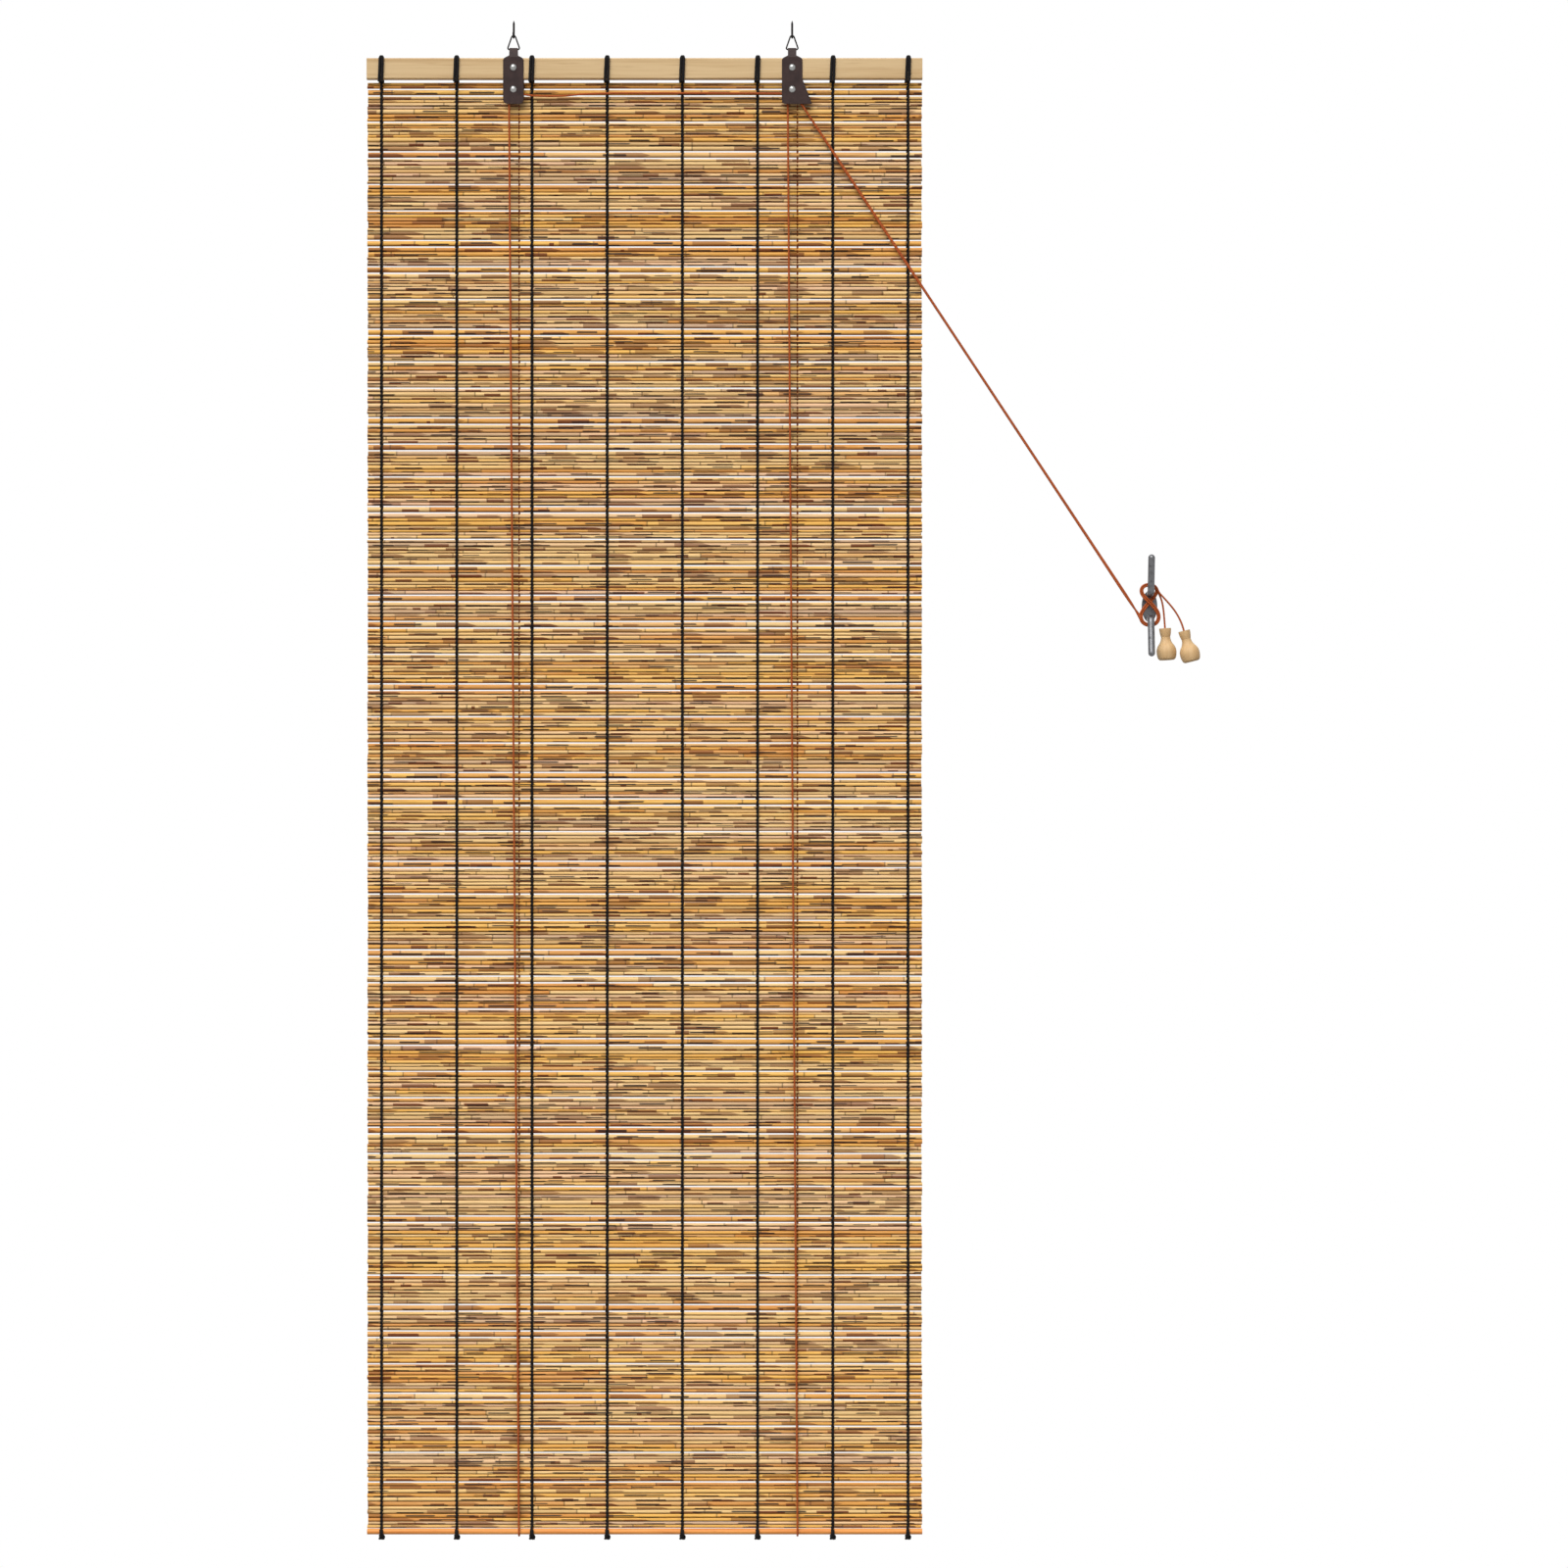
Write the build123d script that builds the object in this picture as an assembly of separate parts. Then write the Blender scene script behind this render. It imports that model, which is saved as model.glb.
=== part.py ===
from build123d import *
import math
import os

# Reed roll-up blind, 60 x 160 cm, lowered, with both pull cords made fast on a wall cleat.
# Millimetres, +Z up, +X to the right of a person who faces the blind, -Y towards that person.
# The origin is midway between the two hook shanks, on the ceiling that they screw into.

# Fits and cuts
fit_gap = 0.1
bore_fit = 0.05
side_play = 0.2
cord_gap = 0.3
overrun = 1.0

# Screw hooks in the ceiling
hook_spacing = 301.2
hook_wire_d = 2.3
hook_drop = 8.8
hook_bowl_r = 3.25
hook_tip_rise = 2.0
shank_length = 11.0
shank_point = 3.0
shank_tip_share = 0.25

# Triangular wire rings
ring_wire_d = 1.6
ring_height = 15.0
ring_base = 13.8
ring_apex_r = 2.25
ring_corner_r = 1.7

# Head batten
head_length = 600.6
head_height = 22.9
head_depth = 10.0
head_edge_r = 1.6
head_offset = 8.9

# Folded sheet brackets
sheet = 0.9
bracket_width = 22.2
neck_width = 9.2
neck_drop = 9.7
shoulder_height = 3.6
shoulder_r = 3.6
bracket_corner_r = 4.5
bracket_foot = 6.7
flare_width = 10.4

# Rivets and pulley axles
rivet_shank_d = 3.0
rivet_head_d = 7.4
rivet_head_h = 2.0
upper_rivet_drop = 10.2
lower_rivet_drop = 8.0
axle_drop = 9.2
axle_d = 3.0
collar_d = 6.0
collar_t = 0.55

# Pulleys
pulley_cord_r = 4.77
pulley_d = 11.6
pulley_width = 5.4
pulley_flange = 0.4

# Reed mat
mat_length = 1563.8
mat_head_gap = 2.9
reed_d = 3.6
valley_share = 0.45
crest_share = 0.5
ridge_pitch = 7.1
gap_height = 1.3
gap_margin = 15.5
first_gap_count = 1
ridge_counts = (1, 4, 4.5, 1, 4, 4, 4.5, 1, 3)

# Black warp cords, twined in pairs over each reed
warp_edge = 15.6
left_outer_reach = 61.66
left_inner_reach = 19.69
right_inner_reach = 37.51
right_outer_reach = 43.84
inner_warp_count = 4
warp_width = 3.4
warp_t = 1.0
warp_loop_width = 6.1
warp_loop_t = 1.1
warp_loop_r = 2.0
warp_lift = 0.6
knot_d = 5.8
knot_h = 4.6

# Bottom rod
rod_d = 6.4
rod_gap = 0.5

# Lift and pull cords
cord_d = 2.1
cord_pitch = 2.2
corner_share = 0.45
loop_offset = 5.8
anchor_knot_d = 4.6
anchor_drop = 5.0

# Cleat on the wall
wall_y = 10.0
cleat_x = 537.9
cleat_drop = 622.4
cleat_length = 110.0
cleat_foot_w = 16.8
cleat_foot_h = 34.0
cleat_foot_t = 4.0
horn_d = 7.4
horn_stance = 27.2
horn_reach = 26.8
horn_bend_r = 5.5
horn_flare = 9.0
cleat_screw_d = 3.2
cleat_screw_neck_d = 2.8
cleat_screw_head_d = 6.2
cleat_screw_head_h = 1.8
cleat_screw_grip = 18.0
cleat_screw_point = 4.0
cleat_screw_spacing = 12.0

# Turns of the cords on the cleat
turn_r = 9.4
turn_offset = 12.3
turn_band = 3.4
turn_depth = 4.4
turn_rise = 1.7
turn_shift = -1.5

# Turned wooden knobs
knob_length = 34.5
knob_mouth_d = 12.8
knob_neck_d = 10.0
knob_neck_share = 0.27
knob_belly_d = 21.6
knob_belly_share = 0.74
knob_base_d = 17.5
knob_base_r = 3.6
knob_bore_d = 3.4
knob_recess_d = 7.0
knob_recess_h = 8.0
knob_knot_d = 5.6
knob_knot_h = 4.0
knob_tilts = (3.5, 14.3)
cord_in_knob = 14.0

# Routes of the two loose tails, from the turns to the knobs, seen from the front about the cleat's middle
near_tail = ((6.0, 20.0), (9.4, 13.2), (12.4, 6.0), (14.3, -4.2), (15.9, -24.1))
far_tail = ((5.0, 20.5), (9.1, 14.3), (13.9, 9.4), (20.7, 1.9), (27.6, -6.9), (33.1, -17.2), (36.2, -26.8))

# Places that follow from the sizes
hang_y = -hook_bowl_r
hook_inner_z = hook_wire_d - hook_drop
ring_apex_z = hook_inner_z + fit_gap + ring_wire_d / 2
ring_base_z = ring_apex_z - ring_height
head_top = ring_base_z - neck_drop
head_bottom = head_top - head_height
head_x = -head_offset
mat_top = head_bottom - mat_head_gap
mat_bottom = mat_top - mat_length
rod_z = mat_bottom - rod_gap - rod_d / 2
upper_rivet_z = head_top - upper_rivet_drop
lower_rivet_z = mat_top - lower_rivet_drop
axle_z = lower_rivet_z - axle_drop
bracket_bottom = axle_z - bracket_foot
leaf_in = head_depth / 2 + fit_gap
leaf_out = leaf_in + sheet
mat_y = hang_y + head_depth / 2 - reed_d / 2
mat_front = mat_y - reed_d / 2
pulley_y = hang_y - leaf_in + side_play + pulley_width / 2
front_lane = pulley_y - cord_pitch / 2
back_lane = pulley_y + cord_pitch / 2
loop_r = rod_d / 2 + cord_gap + cord_d / 2
bracket_places = (-hook_spacing / 2, hook_spacing / 2)
inner_start = bracket_places[0] + left_inner_reach
inner_pitch = (bracket_places[1] - right_inner_reach - inner_start) / (inner_warp_count - 1)
warp_places = [
    head_x - head_length / 2 + warp_edge,
    bracket_places[0] - left_outer_reach,
    *[inner_start + i * inner_pitch for i in range(inner_warp_count)],
    bracket_places[1] + right_outer_reach,
    head_x + head_length / 2 - warp_edge,
]
anchor_z = axle_z + anchor_drop
anchor_y = mat_y + loop_r


def front_plane(y):
    """Upright plane at depth y: its own x is X and its own y is Z."""
    return Plane(origin=(0, y, 0), x_dir=(1, 0, 0), z_dir=(0, -1, 0))


def side_plane(x):
    """Upright plane at place x: its own x is Y and its own y is Z."""
    return Plane(origin=(x, 0, 0), x_dir=(0, 1, 0), z_dir=(1, 0, 0))


def cross_bar(x, z, diameter, y_low, y_high):
    """Round bar along Y, for pins and for the holes that they go through."""
    plane = front_plane(y_high)
    return extrude(plane * Pos(x, z) * Circle(diameter / 2), amount=y_high - y_low)


def tube(path, diameter):
    """Round tube along a path of straight runs and arcs."""
    start = Plane(origin=path @ 0, z_dir=path % 0)
    return sweep(start * Circle(diameter / 2), path=path)


def teardrop(radius, offset, tip_radius, tip_offset):
    """Flat teardrop on the upright axis: a round end and a smaller tip, joined by tangents."""
    lean = (tip_radius - radius) / (offset - tip_offset)
    across = math.sqrt(1 - lean ** 2)
    broad = (radius * across, offset + radius * lean)
    slim = (tip_radius * across, tip_offset + tip_radius * lean)
    outline = Polyline(broad, slim, (-slim[0], slim[1]), (-broad[0], broad[1]), close=True)
    shape = make_face(outline) + Pos(0, offset) * Circle(radius)
    return shape + Pos(0, tip_offset) * Circle(tip_radius)


def screw_hook(x):
    """Ceiling hook: pointed shank, half-round bowl and a short upturned tip."""
    bowl_z = hook_bowl_r + hook_wire_d / 2 - hook_drop
    shank = Line((0, shank_length - shank_point), (0, bowl_z))
    bowl = CenterArc((hang_y, bowl_z), hook_bowl_r, 0, -180)
    tip = Line((2 * hang_y, bowl_z), (2 * hang_y, bowl_z + hook_tip_rise))
    path = Wire([(side_plane(x) * part).edge() for part in (shank, bowl, tip)])
    wire_r = hook_wire_d / 2
    point = Cone(wire_r, wire_r * shank_tip_share, shank_point, align=(Align.CENTER, Align.CENTER, Align.MIN))
    return tube(path, hook_wire_d) + Pos(x, 0, shank_length - shank_point) * point


def hanger_ring(x):
    """Closed triangle of round wire, its base bar in the bracket's fold."""
    corners = Polyline(
        (-ring_base / 2, ring_base_z),
        (ring_base / 2, ring_base_z),
        (0, ring_apex_z + apex_overshoot()),
        close=True,
    )
    outline = make_face(corners)
    low = outline.vertices().sort_by(Axis.Y)[:2]
    outline = fillet(low, ring_corner_r)
    outline = fillet(outline.vertices().sort_by(Axis.Y)[-1], ring_apex_r)
    path = (front_plane(hang_y) * Pos(x, 0) * outline).wire()
    return tube(path, ring_wire_d)


def apex_overshoot():
    """How far the sharp corner stands above the top of the ring's rounded apex."""
    drop = ring_height - ring_apex_r
    half = ring_base / 2
    lean = math.acos(ring_apex_r / math.hypot(drop, half)) - math.atan2(drop, half)
    return ring_apex_r * (1 / math.sin(lean) - 1)


def bracket_outline(flare):
    """Flat outline of one leaf: neck, shoulders and body, with a slanted cord side where flare is set."""
    neck_top = ring_base_z + ring_wire_d / 2 + fit_gap + sheet + overrun
    shoulder_low = head_top - sheet
    shoulder_top = shoulder_low + shoulder_height
    half = bracket_width / 2
    corner = (half + flare, bracket_bottom)
    points = [
        (-neck_width / 2, neck_top),
        (neck_width / 2, neck_top),
        (neck_width / 2, shoulder_top),
        (half, shoulder_low),
        (half, head_bottom),
        corner,
        (-half, bracket_bottom),
        (-half, shoulder_low),
        (-neck_width / 2, shoulder_top),
    ]
    if not flare:
        points.remove((half, head_bottom))
    face = make_face(Polyline(*points, close=True))
    shoulders = [v for v in face.vertices() if abs(v.Y - shoulder_low) < fit_gap]
    face = fillet(shoulders, shoulder_r)
    feet = [v for v in face.vertices() if abs(v.Y - bracket_bottom) < fit_gap and (v.X < 0 or not flare)]
    return fillet(feet, bracket_corner_r if not flare else shoulder_r)


def fold_profile(half, fold_r, floor):
    """Side view of the folded strip, filled: a round fold on top, a sloping neck and upright leaves."""
    shoulder_z = head_top + sheet
    rise = ring_base_z - shoulder_z
    turn = math.acos(fold_r / math.hypot(half, rise)) - math.atan2(rise, half)
    touch = (fold_r * math.cos(turn), ring_base_z + fold_r * math.sin(turn))
    right_side = [(half, floor), (half, shoulder_z), touch]
    left_side = [(-y, z) for y, z in reversed(right_side)]
    return make_face(Polyline(*right_side, *left_side, close=True)) + Pos(0, ring_base_z) * Circle(fold_r)


def bracket(x, flare):
    """Sheet strip folded over the ring's base bar, its two leaves riveted through the batten."""
    fold_r = ring_wire_d / 2 + fit_gap
    side = side_plane(-bracket_width - flare_width)
    side = side * Pos(hang_y, 0)
    outer = side * fold_profile(leaf_out, fold_r + sheet, bracket_bottom - overrun)
    inner = side * fold_profile(leaf_in, fold_r, bracket_bottom - 2 * overrun)
    strip = extrude(outer, amount=2 * (bracket_width + flare_width))
    strip -= extrude(inner, amount=2 * (bracket_width + flare_width))
    blank = extrude(front_plane(hang_y + leaf_out) * bracket_outline(flare), amount=2 * leaf_out)
    leaf = strip & blank
    for z, diameter in ((upper_rivet_z, rivet_shank_d), (lower_rivet_z, rivet_shank_d), (axle_z, axle_d)):
        hole = cross_bar(0, z, diameter + 2 * bore_fit, hang_y - leaf_out - overrun, hang_y + leaf_out + overrun)
        leaf -= hole
    return Pos(x, 0, 0) * leaf


def rivet(x, z):
    """Dome-headed rivet through both leaves."""
    dome_r = (rivet_head_d ** 2 / 4 + rivet_head_h ** 2) / (2 * rivet_head_h)
    shank = cross_bar(x, z, rivet_shank_d, hang_y - leaf_out, hang_y + leaf_out)
    for side in (-1, 1):
        seat = hang_y + side * leaf_out
        ball = Pos(x, seat + side * (rivet_head_h - dome_r), z) * Sphere(dome_r)
        block = Pos(x, seat + side * dome_r, z) * Box(2 * dome_r, 2 * dome_r, 2 * dome_r)
        shank += ball & block
    return shank


def axle(x):
    """Pulley pin, flush with both leaves, with a collar that keeps the pulley off the reeds."""
    collar_y = pulley_y + pulley_width / 2 + side_play
    pin = cross_bar(x, axle_z, axle_d, hang_y - leaf_out, hang_y + leaf_out)
    return pin + cross_bar(x, axle_z, collar_d, collar_y, collar_y + collar_t)


def pulley(x):
    """Flanged spool with room in its groove for two cords side by side."""
    groove_r = pulley_cord_r - cord_d / 2 - cord_gap
    half = pulley_width / 2
    floor_half = half - pulley_flange
    bore_r = axle_d / 2 + bore_fit
    profile = Polyline(
        (bore_r, -half),
        (pulley_d / 2, -half),
        (pulley_d / 2, -floor_half),
        (groove_r, -floor_half),
        (groove_r, floor_half),
        (pulley_d / 2, floor_half),
        (pulley_d / 2, half),
        (bore_r, half),
        close=True,
    )
    spool = revolve(make_face(profile), Axis.Y)
    return Pos(x, pulley_y, axle_z) * spool


def head_batten():
    """Wooden batten with eased edges, drilled for the two upper rivets."""
    end = Plane(origin=(head_x - head_length / 2, 0, 0), x_dir=(0, 1, 0), z_dir=(1, 0, 0))
    section = RectangleRounded(head_depth, head_height, head_edge_r)
    batten = extrude(end * Pos(hang_y, head_top - head_height / 2) * section, amount=head_length)
    for x in bracket_places:
        low = hang_y - head_depth / 2 - overrun
        batten -= cross_bar(x, upper_rivet_z, rivet_shank_d + 2 * bore_fit, low, low + head_depth + 2 * overrun)
    return batten


def reed_mat():
    """One wall of ridges, opened by see-through gaps between the outer warp cords."""
    ridges = round(mat_length / ridge_pitch)
    pitch = mat_length / ridges
    crest = reed_d / 2
    valley = crest * valley_share
    front = []
    for i in range(ridges):
        front.append((mat_y - valley, mat_top - i * pitch))
        front.append((mat_y - crest, mat_top - (i + crest_share) * pitch))
    front.append((mat_y - valley, mat_bottom))
    back = [(2 * mat_y - y, z) for y, z in reversed(front)]
    end = Plane(origin=(head_x - head_length / 2, 0, 0), x_dir=(0, 1, 0), z_dir=(1, 0, 0))
    wall = extrude(end * make_face(Polyline(*front, *back, close=True)), amount=head_length)
    slot = Box(head_length - 2 * gap_margin, reed_d + 2 * overrun, gap_height)
    slots = [Pos(head_x, mat_y, mat_top - row * pitch) * slot for row in gap_rows(ridges)]
    pins = []
    for x in bracket_places:
        for z, diameter in ((lower_rivet_z, rivet_shank_d), (axle_z, axle_d)):
            hole_d = diameter + 2 * cord_gap
            pins.append(cross_bar(x, z, hole_d, mat_front - overrun, mat_front + reed_d + overrun))
    return wall - slots - pins


def gap_rows(ridges):
    """Ridge numbers that a gap stands over, in the repeating rhythm of the mat."""
    rows = []
    row = first_gap_count
    while row < ridges:
        rows.append(row)
        row += ridge_counts[(len(rows) - 1) % len(ridge_counts)]
    return rows


def warp_loop(x):
    """Doubled warp cord where it is carried over the batten."""
    half_in = head_depth / 2 + fit_gap
    half_out = half_in + warp_loop_t
    top_in = head_top + fit_gap
    low = mat_top + fit_gap
    plane = side_plane(x - warp_loop_width / 2)
    outer = make_face(Polyline(
        (hang_y - half_out, low),
        (hang_y + half_out, low),
        (hang_y + half_out, top_in + warp_lift + warp_loop_t),
        (hang_y - half_out, top_in + warp_lift + warp_loop_t),
        close=True,
    ))
    outer = fillet(outer.vertices().sort_by(Axis.Y)[-2:], warp_loop_r)
    inner = make_face(Polyline(
        (hang_y - half_in, low - overrun),
        (hang_y + half_in, low - overrun),
        (hang_y + half_in, top_in),
        (hang_y - half_in, top_in),
        close=True,
    ))
    return extrude(plane * (outer - inner), amount=warp_loop_width)


def warp_strand(x, side):
    """One twined cord of a pair, along the front or the back of the reeds."""
    y = mat_y + side * (reed_d / 2 + fit_gap + warp_t / 2)
    return Pos(x, y, (mat_top + mat_bottom) / 2) * Box(warp_width, warp_t, mat_length)


def warp_knot(x):
    """Knot that ties a warp pair off under the bottom rod."""
    rod_low = rod_z - rod_d / 2
    knot = Pos(x, mat_y, rod_low - knot_h) * Cylinder(
        knot_d / 2, knot_h + rod_d / 2, align=(Align.CENTER, Align.CENTER, Align.MIN))
    rod_room = Pos(x, mat_y, rod_z) * Rot(0, 90, 0) * Cylinder(rod_d / 2 + fit_gap, knot_d + 2 * overrun)
    return knot - rod_room


def bottom_rod():
    """Plain round rod that the mat rolls up on."""
    return Pos(head_x, mat_y, rod_z) * Rot(0, 90, 0) * Cylinder(rod_d / 2, head_length)


def lift_front(x, lane):
    """Taut strand down the front of the mat, from the pulley to the bottom rod."""
    top = (x - pulley_cord_r, lane, axle_z - fit_gap)
    low = (x + loop_offset, mat_y - loop_r, rod_z + fit_gap)
    return tube(Line(top, low), cord_d)


def lift_back(x):
    """Taut strand up the back of the mat, from the bottom rod to its knot on the bracket."""
    low = (x + loop_offset, anchor_y, rod_z + fit_gap)
    top = (x + loop_offset, anchor_y, anchor_z - anchor_knot_d / 2)
    return tube(Line(low, top), cord_d)


def lift_loop(x):
    """The cord's turn under the bottom rod."""
    path = side_plane(x + loop_offset) * CenterArc((mat_y, rod_z), loop_r, 180, 180)
    return tube(path.edge(), cord_d)


def anchor_knot(x):
    """Stopper knot that holds the back strand against the bracket's back leaf."""
    seat = hang_y + leaf_out + fit_gap
    ball = Pos(x + loop_offset, anchor_y, anchor_z) * Sphere(anchor_knot_d / 2)
    room = Pos(x + loop_offset, seat, anchor_z) * Box(
        2 * anchor_knot_d, 2 * anchor_knot_d, 2 * anchor_knot_d, align=(Align.CENTER, Align.MIN, Align.CENTER))
    return ball & room


def pull_cord(lane, first_pulley, tail, tilt):
    """Cord over the pulleys and tight to the cleat, then its loose tail into a knob."""
    pulley_x = bracket_places[1]
    turn_z = turn_rise - turn_offset - cleat_drop
    turn_x = cleat_x + turn_shift
    aim = (turn_x - pulley_x, turn_z - axle_z)
    heading = math.atan2(aim[1], aim[0])
    reach = math.hypot(*aim)
    leave = heading + math.acos((pulley_cord_r + turn_r) / reach)
    normal = (math.cos(leave), math.sin(leave))
    over_top = axle_z + pulley_cord_r
    start = 180 if first_pulley == pulley_x else 90
    off_pulley = (pulley_x + pulley_cord_r * normal[0], axle_z + pulley_cord_r * normal[1])
    on_turn = (turn_x - turn_r * normal[0], turn_z - turn_r * normal[1])
    edges = []
    if first_pulley != pulley_x:
        edges.append(CenterArc((first_pulley, axle_z), pulley_cord_r, 180, -90))
        edges.append(Line((first_pulley, over_top), (pulley_x, over_top)))
    edges.append(CenterArc((pulley_x, axle_z), pulley_cord_r, start, math.degrees(leave) - start))
    edges.append(Line(off_pulley, on_turn))
    plane = front_plane(lane)
    taut = tube(Wire([(plane * edge).edge() for edge in edges]), cord_d)
    mouth = tail[-1]
    inside = (mouth[0] + cord_in_knob * math.sin(math.radians(tilt)),
              mouth[1] - cord_in_knob * math.cos(math.radians(tilt)))
    points = [(cleat_x + x, lane, z - cleat_drop) for x, z in (*tail, inside)]
    return Compound([taut.solid(), tube(cord_path(points), cord_d).solid()])


def cord_path(points):
    """Smooth run through a cord's corners, each arc as large as its two runs allow."""
    steps = [Vector(*b) - Vector(*a) for a, b in zip(points, points[1:])]
    radii = []
    for before, after in zip(steps, steps[1:]):
        turn = math.radians(before.get_angle(after))
        radii.append(corner_share * min(before.length, after.length) / math.tan(turn / 2))
    print("cord arc radii", [round(r, 1) for r in radii])
    return FilletPolyline(*points, radius=radii)


def belay_turns():
    """Outer shape of the figure-of-eight turns that both cords take round the cleat's two horns."""
    band = turn_band / 2
    tip = band * turn_offset / turn_r
    sides = (1, -1)
    outer = [teardrop(turn_r + band, turn_rise + side * turn_offset, band, turn_rise) for side in sides]
    shape = outer[0] + outer[1]
    for side in sides:
        ring_z = turn_rise + side * turn_offset
        shape -= teardrop(turn_r - band, ring_z, fit_gap, turn_rise + side * (tip + fit_gap))
    plane = front_plane((front_lane + back_lane + turn_depth) / 2)
    return extrude(plane * Pos(cleat_x + turn_shift, -cleat_drop) * shape, amount=turn_depth)


def cleat():
    """Cast cleat: an oval foot and two round horns that stand out and turn away, flaring to the tips."""
    foot_plane = front_plane(wall_y)
    foot = extrude(foot_plane * Ellipse(cleat_foot_w / 2, cleat_foot_h / 2), amount=cleat_foot_t)
    body = foot
    tip_z = cleat_length / 2 - horn_d / 2
    root_z = horn_stance / 2
    bend_y = wall_y - horn_reach + horn_d / 2
    for side in (1, -1):
        points = [
            (0, wall_y - cleat_foot_t / 2, side * root_z),
            (0, bend_y, side * root_z),
            (0, bend_y - horn_flare, side * tip_z),
        ]
        path = FilletPolyline(*points, radius=horn_bend_r)
        horn = tube(path, horn_d)
        body += horn
        body += Pos(*points[-1]) * Sphere(horn_d / 2)
    for side in (1, -1):
        body -= Pos(0, 0, side * cleat_screw_spacing / 2) * screw_room()
    return Pos(cleat_x, 0, -cleat_drop) * body


def screw_room():
    """Countersunk clearance hole for one wall screw."""
    face_y = wall_y - cleat_foot_t
    hole = cross_bar(0, 0, cleat_screw_d + 2 * fit_gap, face_y - overrun, wall_y + overrun)
    sink = Pos(0, face_y, 0) * Rot(-90, 0, 0) * Cone(
        cleat_screw_head_d / 2 + fit_gap, cleat_screw_d / 2 + fit_gap, cleat_screw_head_h,
        align=(Align.CENTER, Align.CENTER, Align.MIN))
    return hole + sink


def wall_screw(side):
    """Countersunk wood screw: a slim neck in the cleat's foot, then its thread, left plain, in the wall."""
    face_y = wall_y - cleat_foot_t
    profile = Polyline(
        (0, 0),
        (cleat_screw_head_d / 2, 0),
        (cleat_screw_neck_d / 2, cleat_screw_head_h),
        (cleat_screw_neck_d / 2, cleat_foot_t),
        (cleat_screw_d / 2, cleat_foot_t),
        (cleat_screw_d / 2, cleat_foot_t + cleat_screw_grip - cleat_screw_point),
        (0, cleat_foot_t + cleat_screw_grip),
        close=True,
    )
    screw = revolve(make_face(profile), Axis.Y)
    return Pos(cleat_x, face_y, side * cleat_screw_spacing / 2 - cleat_drop) * screw


def knob_frame(tail, lane, tilt):
    """Place of a knob: its mouth where the tail ends, its axis along the hanging cord."""
    mouth = tail[-1]
    return Pos(cleat_x + mouth[0], lane, mouth[1] - cleat_drop) * Rot(0, -tilt, 0)


def knob(place):
    """Turned knob: flared mouth, narrow neck, full belly and a flat base bored for the knot."""
    neck_z = -knob_length * knob_neck_share
    belly_z = -knob_length * knob_belly_share
    neck_r = knob_neck_d / 2
    belly_r = knob_belly_d / 2
    waist = ((neck_r + belly_r) / 2, (neck_z + belly_z) / 2)
    outline = [
        Line((0, 0), (knob_mouth_d / 2, 0)),
        TangentArc((neck_r, neck_z), (knob_mouth_d / 2, 0), tangent=(0, -1), tangent_from_first=False),
        TangentArc((neck_r, neck_z), waist, tangent=(0, -1)),
        TangentArc((belly_r, belly_z), waist, tangent=(0, 1)),
        TangentArc((belly_r, belly_z), (knob_base_d / 2, -knob_length), tangent=(0, -1)),
        Line((knob_base_d / 2, -knob_length), (0, -knob_length)),
        Line((0, -knob_length), (0, 0)),
    ]
    turned = revolve(Plane.XZ * make_face(Wire([part.edge() for part in outline])), Axis.Z)
    turned = fillet(turned.edges().sort_by(Axis.Z)[0], knob_base_r)
    down = (Align.CENTER, Align.CENTER, Align.MAX)
    turned -= Cylinder(knob_bore_d / 2, knob_length, align=down)
    turned -= Pos(0, 0, knob_recess_h - knob_length) * Cylinder(knob_recess_d / 2, knob_recess_h, align=down)
    return place * turned


def knob_knot(place):
    """Stopper knot inside a knob's base."""
    top = Pos(0, 0, knob_recess_h - knob_length - fit_gap)
    return place * top * Cylinder(knob_knot_d / 2, knob_knot_h, align=(Align.CENTER, Align.CENTER, Align.MAX))


def write(name, *solids):
    """One file for each node, of one solid or a group of like solids."""
    shape = solids[0] if len(solids) == 1 else Compound([s for item in solids for s in item.solids()])
    export_step(shape, os.path.join("parts", name + ".step"))


def main():
    os.makedirs("parts", exist_ok=True)
    left, right = bracket_places
    knob_places = [knob_frame(near_tail, back_lane, knob_tilts[0]), knob_frame(far_tail, front_lane, knob_tilts[1])]
    write("screw_hooks", *[screw_hook(x) for x in bracket_places])
    write("hanger_rings", *[hanger_ring(x) for x in bracket_places])
    write("head_batten", head_batten())
    write("bracket_left", bracket(left, 0))
    write("bracket_right", bracket(right, flare_width))
    write("bracket_rivets", *[rivet(x, z) for x in bracket_places for z in (upper_rivet_z, lower_rivet_z)])
    write("pulley_axles", *[axle(x) for x in bracket_places])
    write("pulley_left", pulley(left))
    write("pulley_right", pulley(right))
    write("reed_mat", reed_mat())
    write("warp_loops", *[warp_loop(x) for x in warp_places])
    write("warp_cords", *[warp_strand(x, side) for x in warp_places for side in (-1, 1)])
    write("warp_knots", *[warp_knot(x) for x in warp_places])
    write("bottom_rod", bottom_rod())
    write("lift_front_left", lift_front(left, front_lane))
    write("lift_front_right", lift_front(right, back_lane))
    write("lift_back_left", lift_back(left))
    write("lift_back_right", lift_back(right))
    write("lift_loops", lift_loop(left), lift_loop(right))
    write("anchor_knots", anchor_knot(left), anchor_knot(right))
    write("pull_cord_left", pull_cord(front_lane, left, far_tail, knob_tilts[1]))
    write("pull_cord_right", pull_cord(back_lane, right, near_tail, knob_tilts[0]))
    write("belay_turns", belay_turns())
    write("cleat", cleat())
    write("cleat_screws", wall_screw(1), wall_screw(-1))
    write("knob_near", knob(knob_places[0]))
    write("knob_far", knob(knob_places[1]))
    write("knob_knots", *[knob_knot(place) for place in knob_places])


main()
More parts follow.
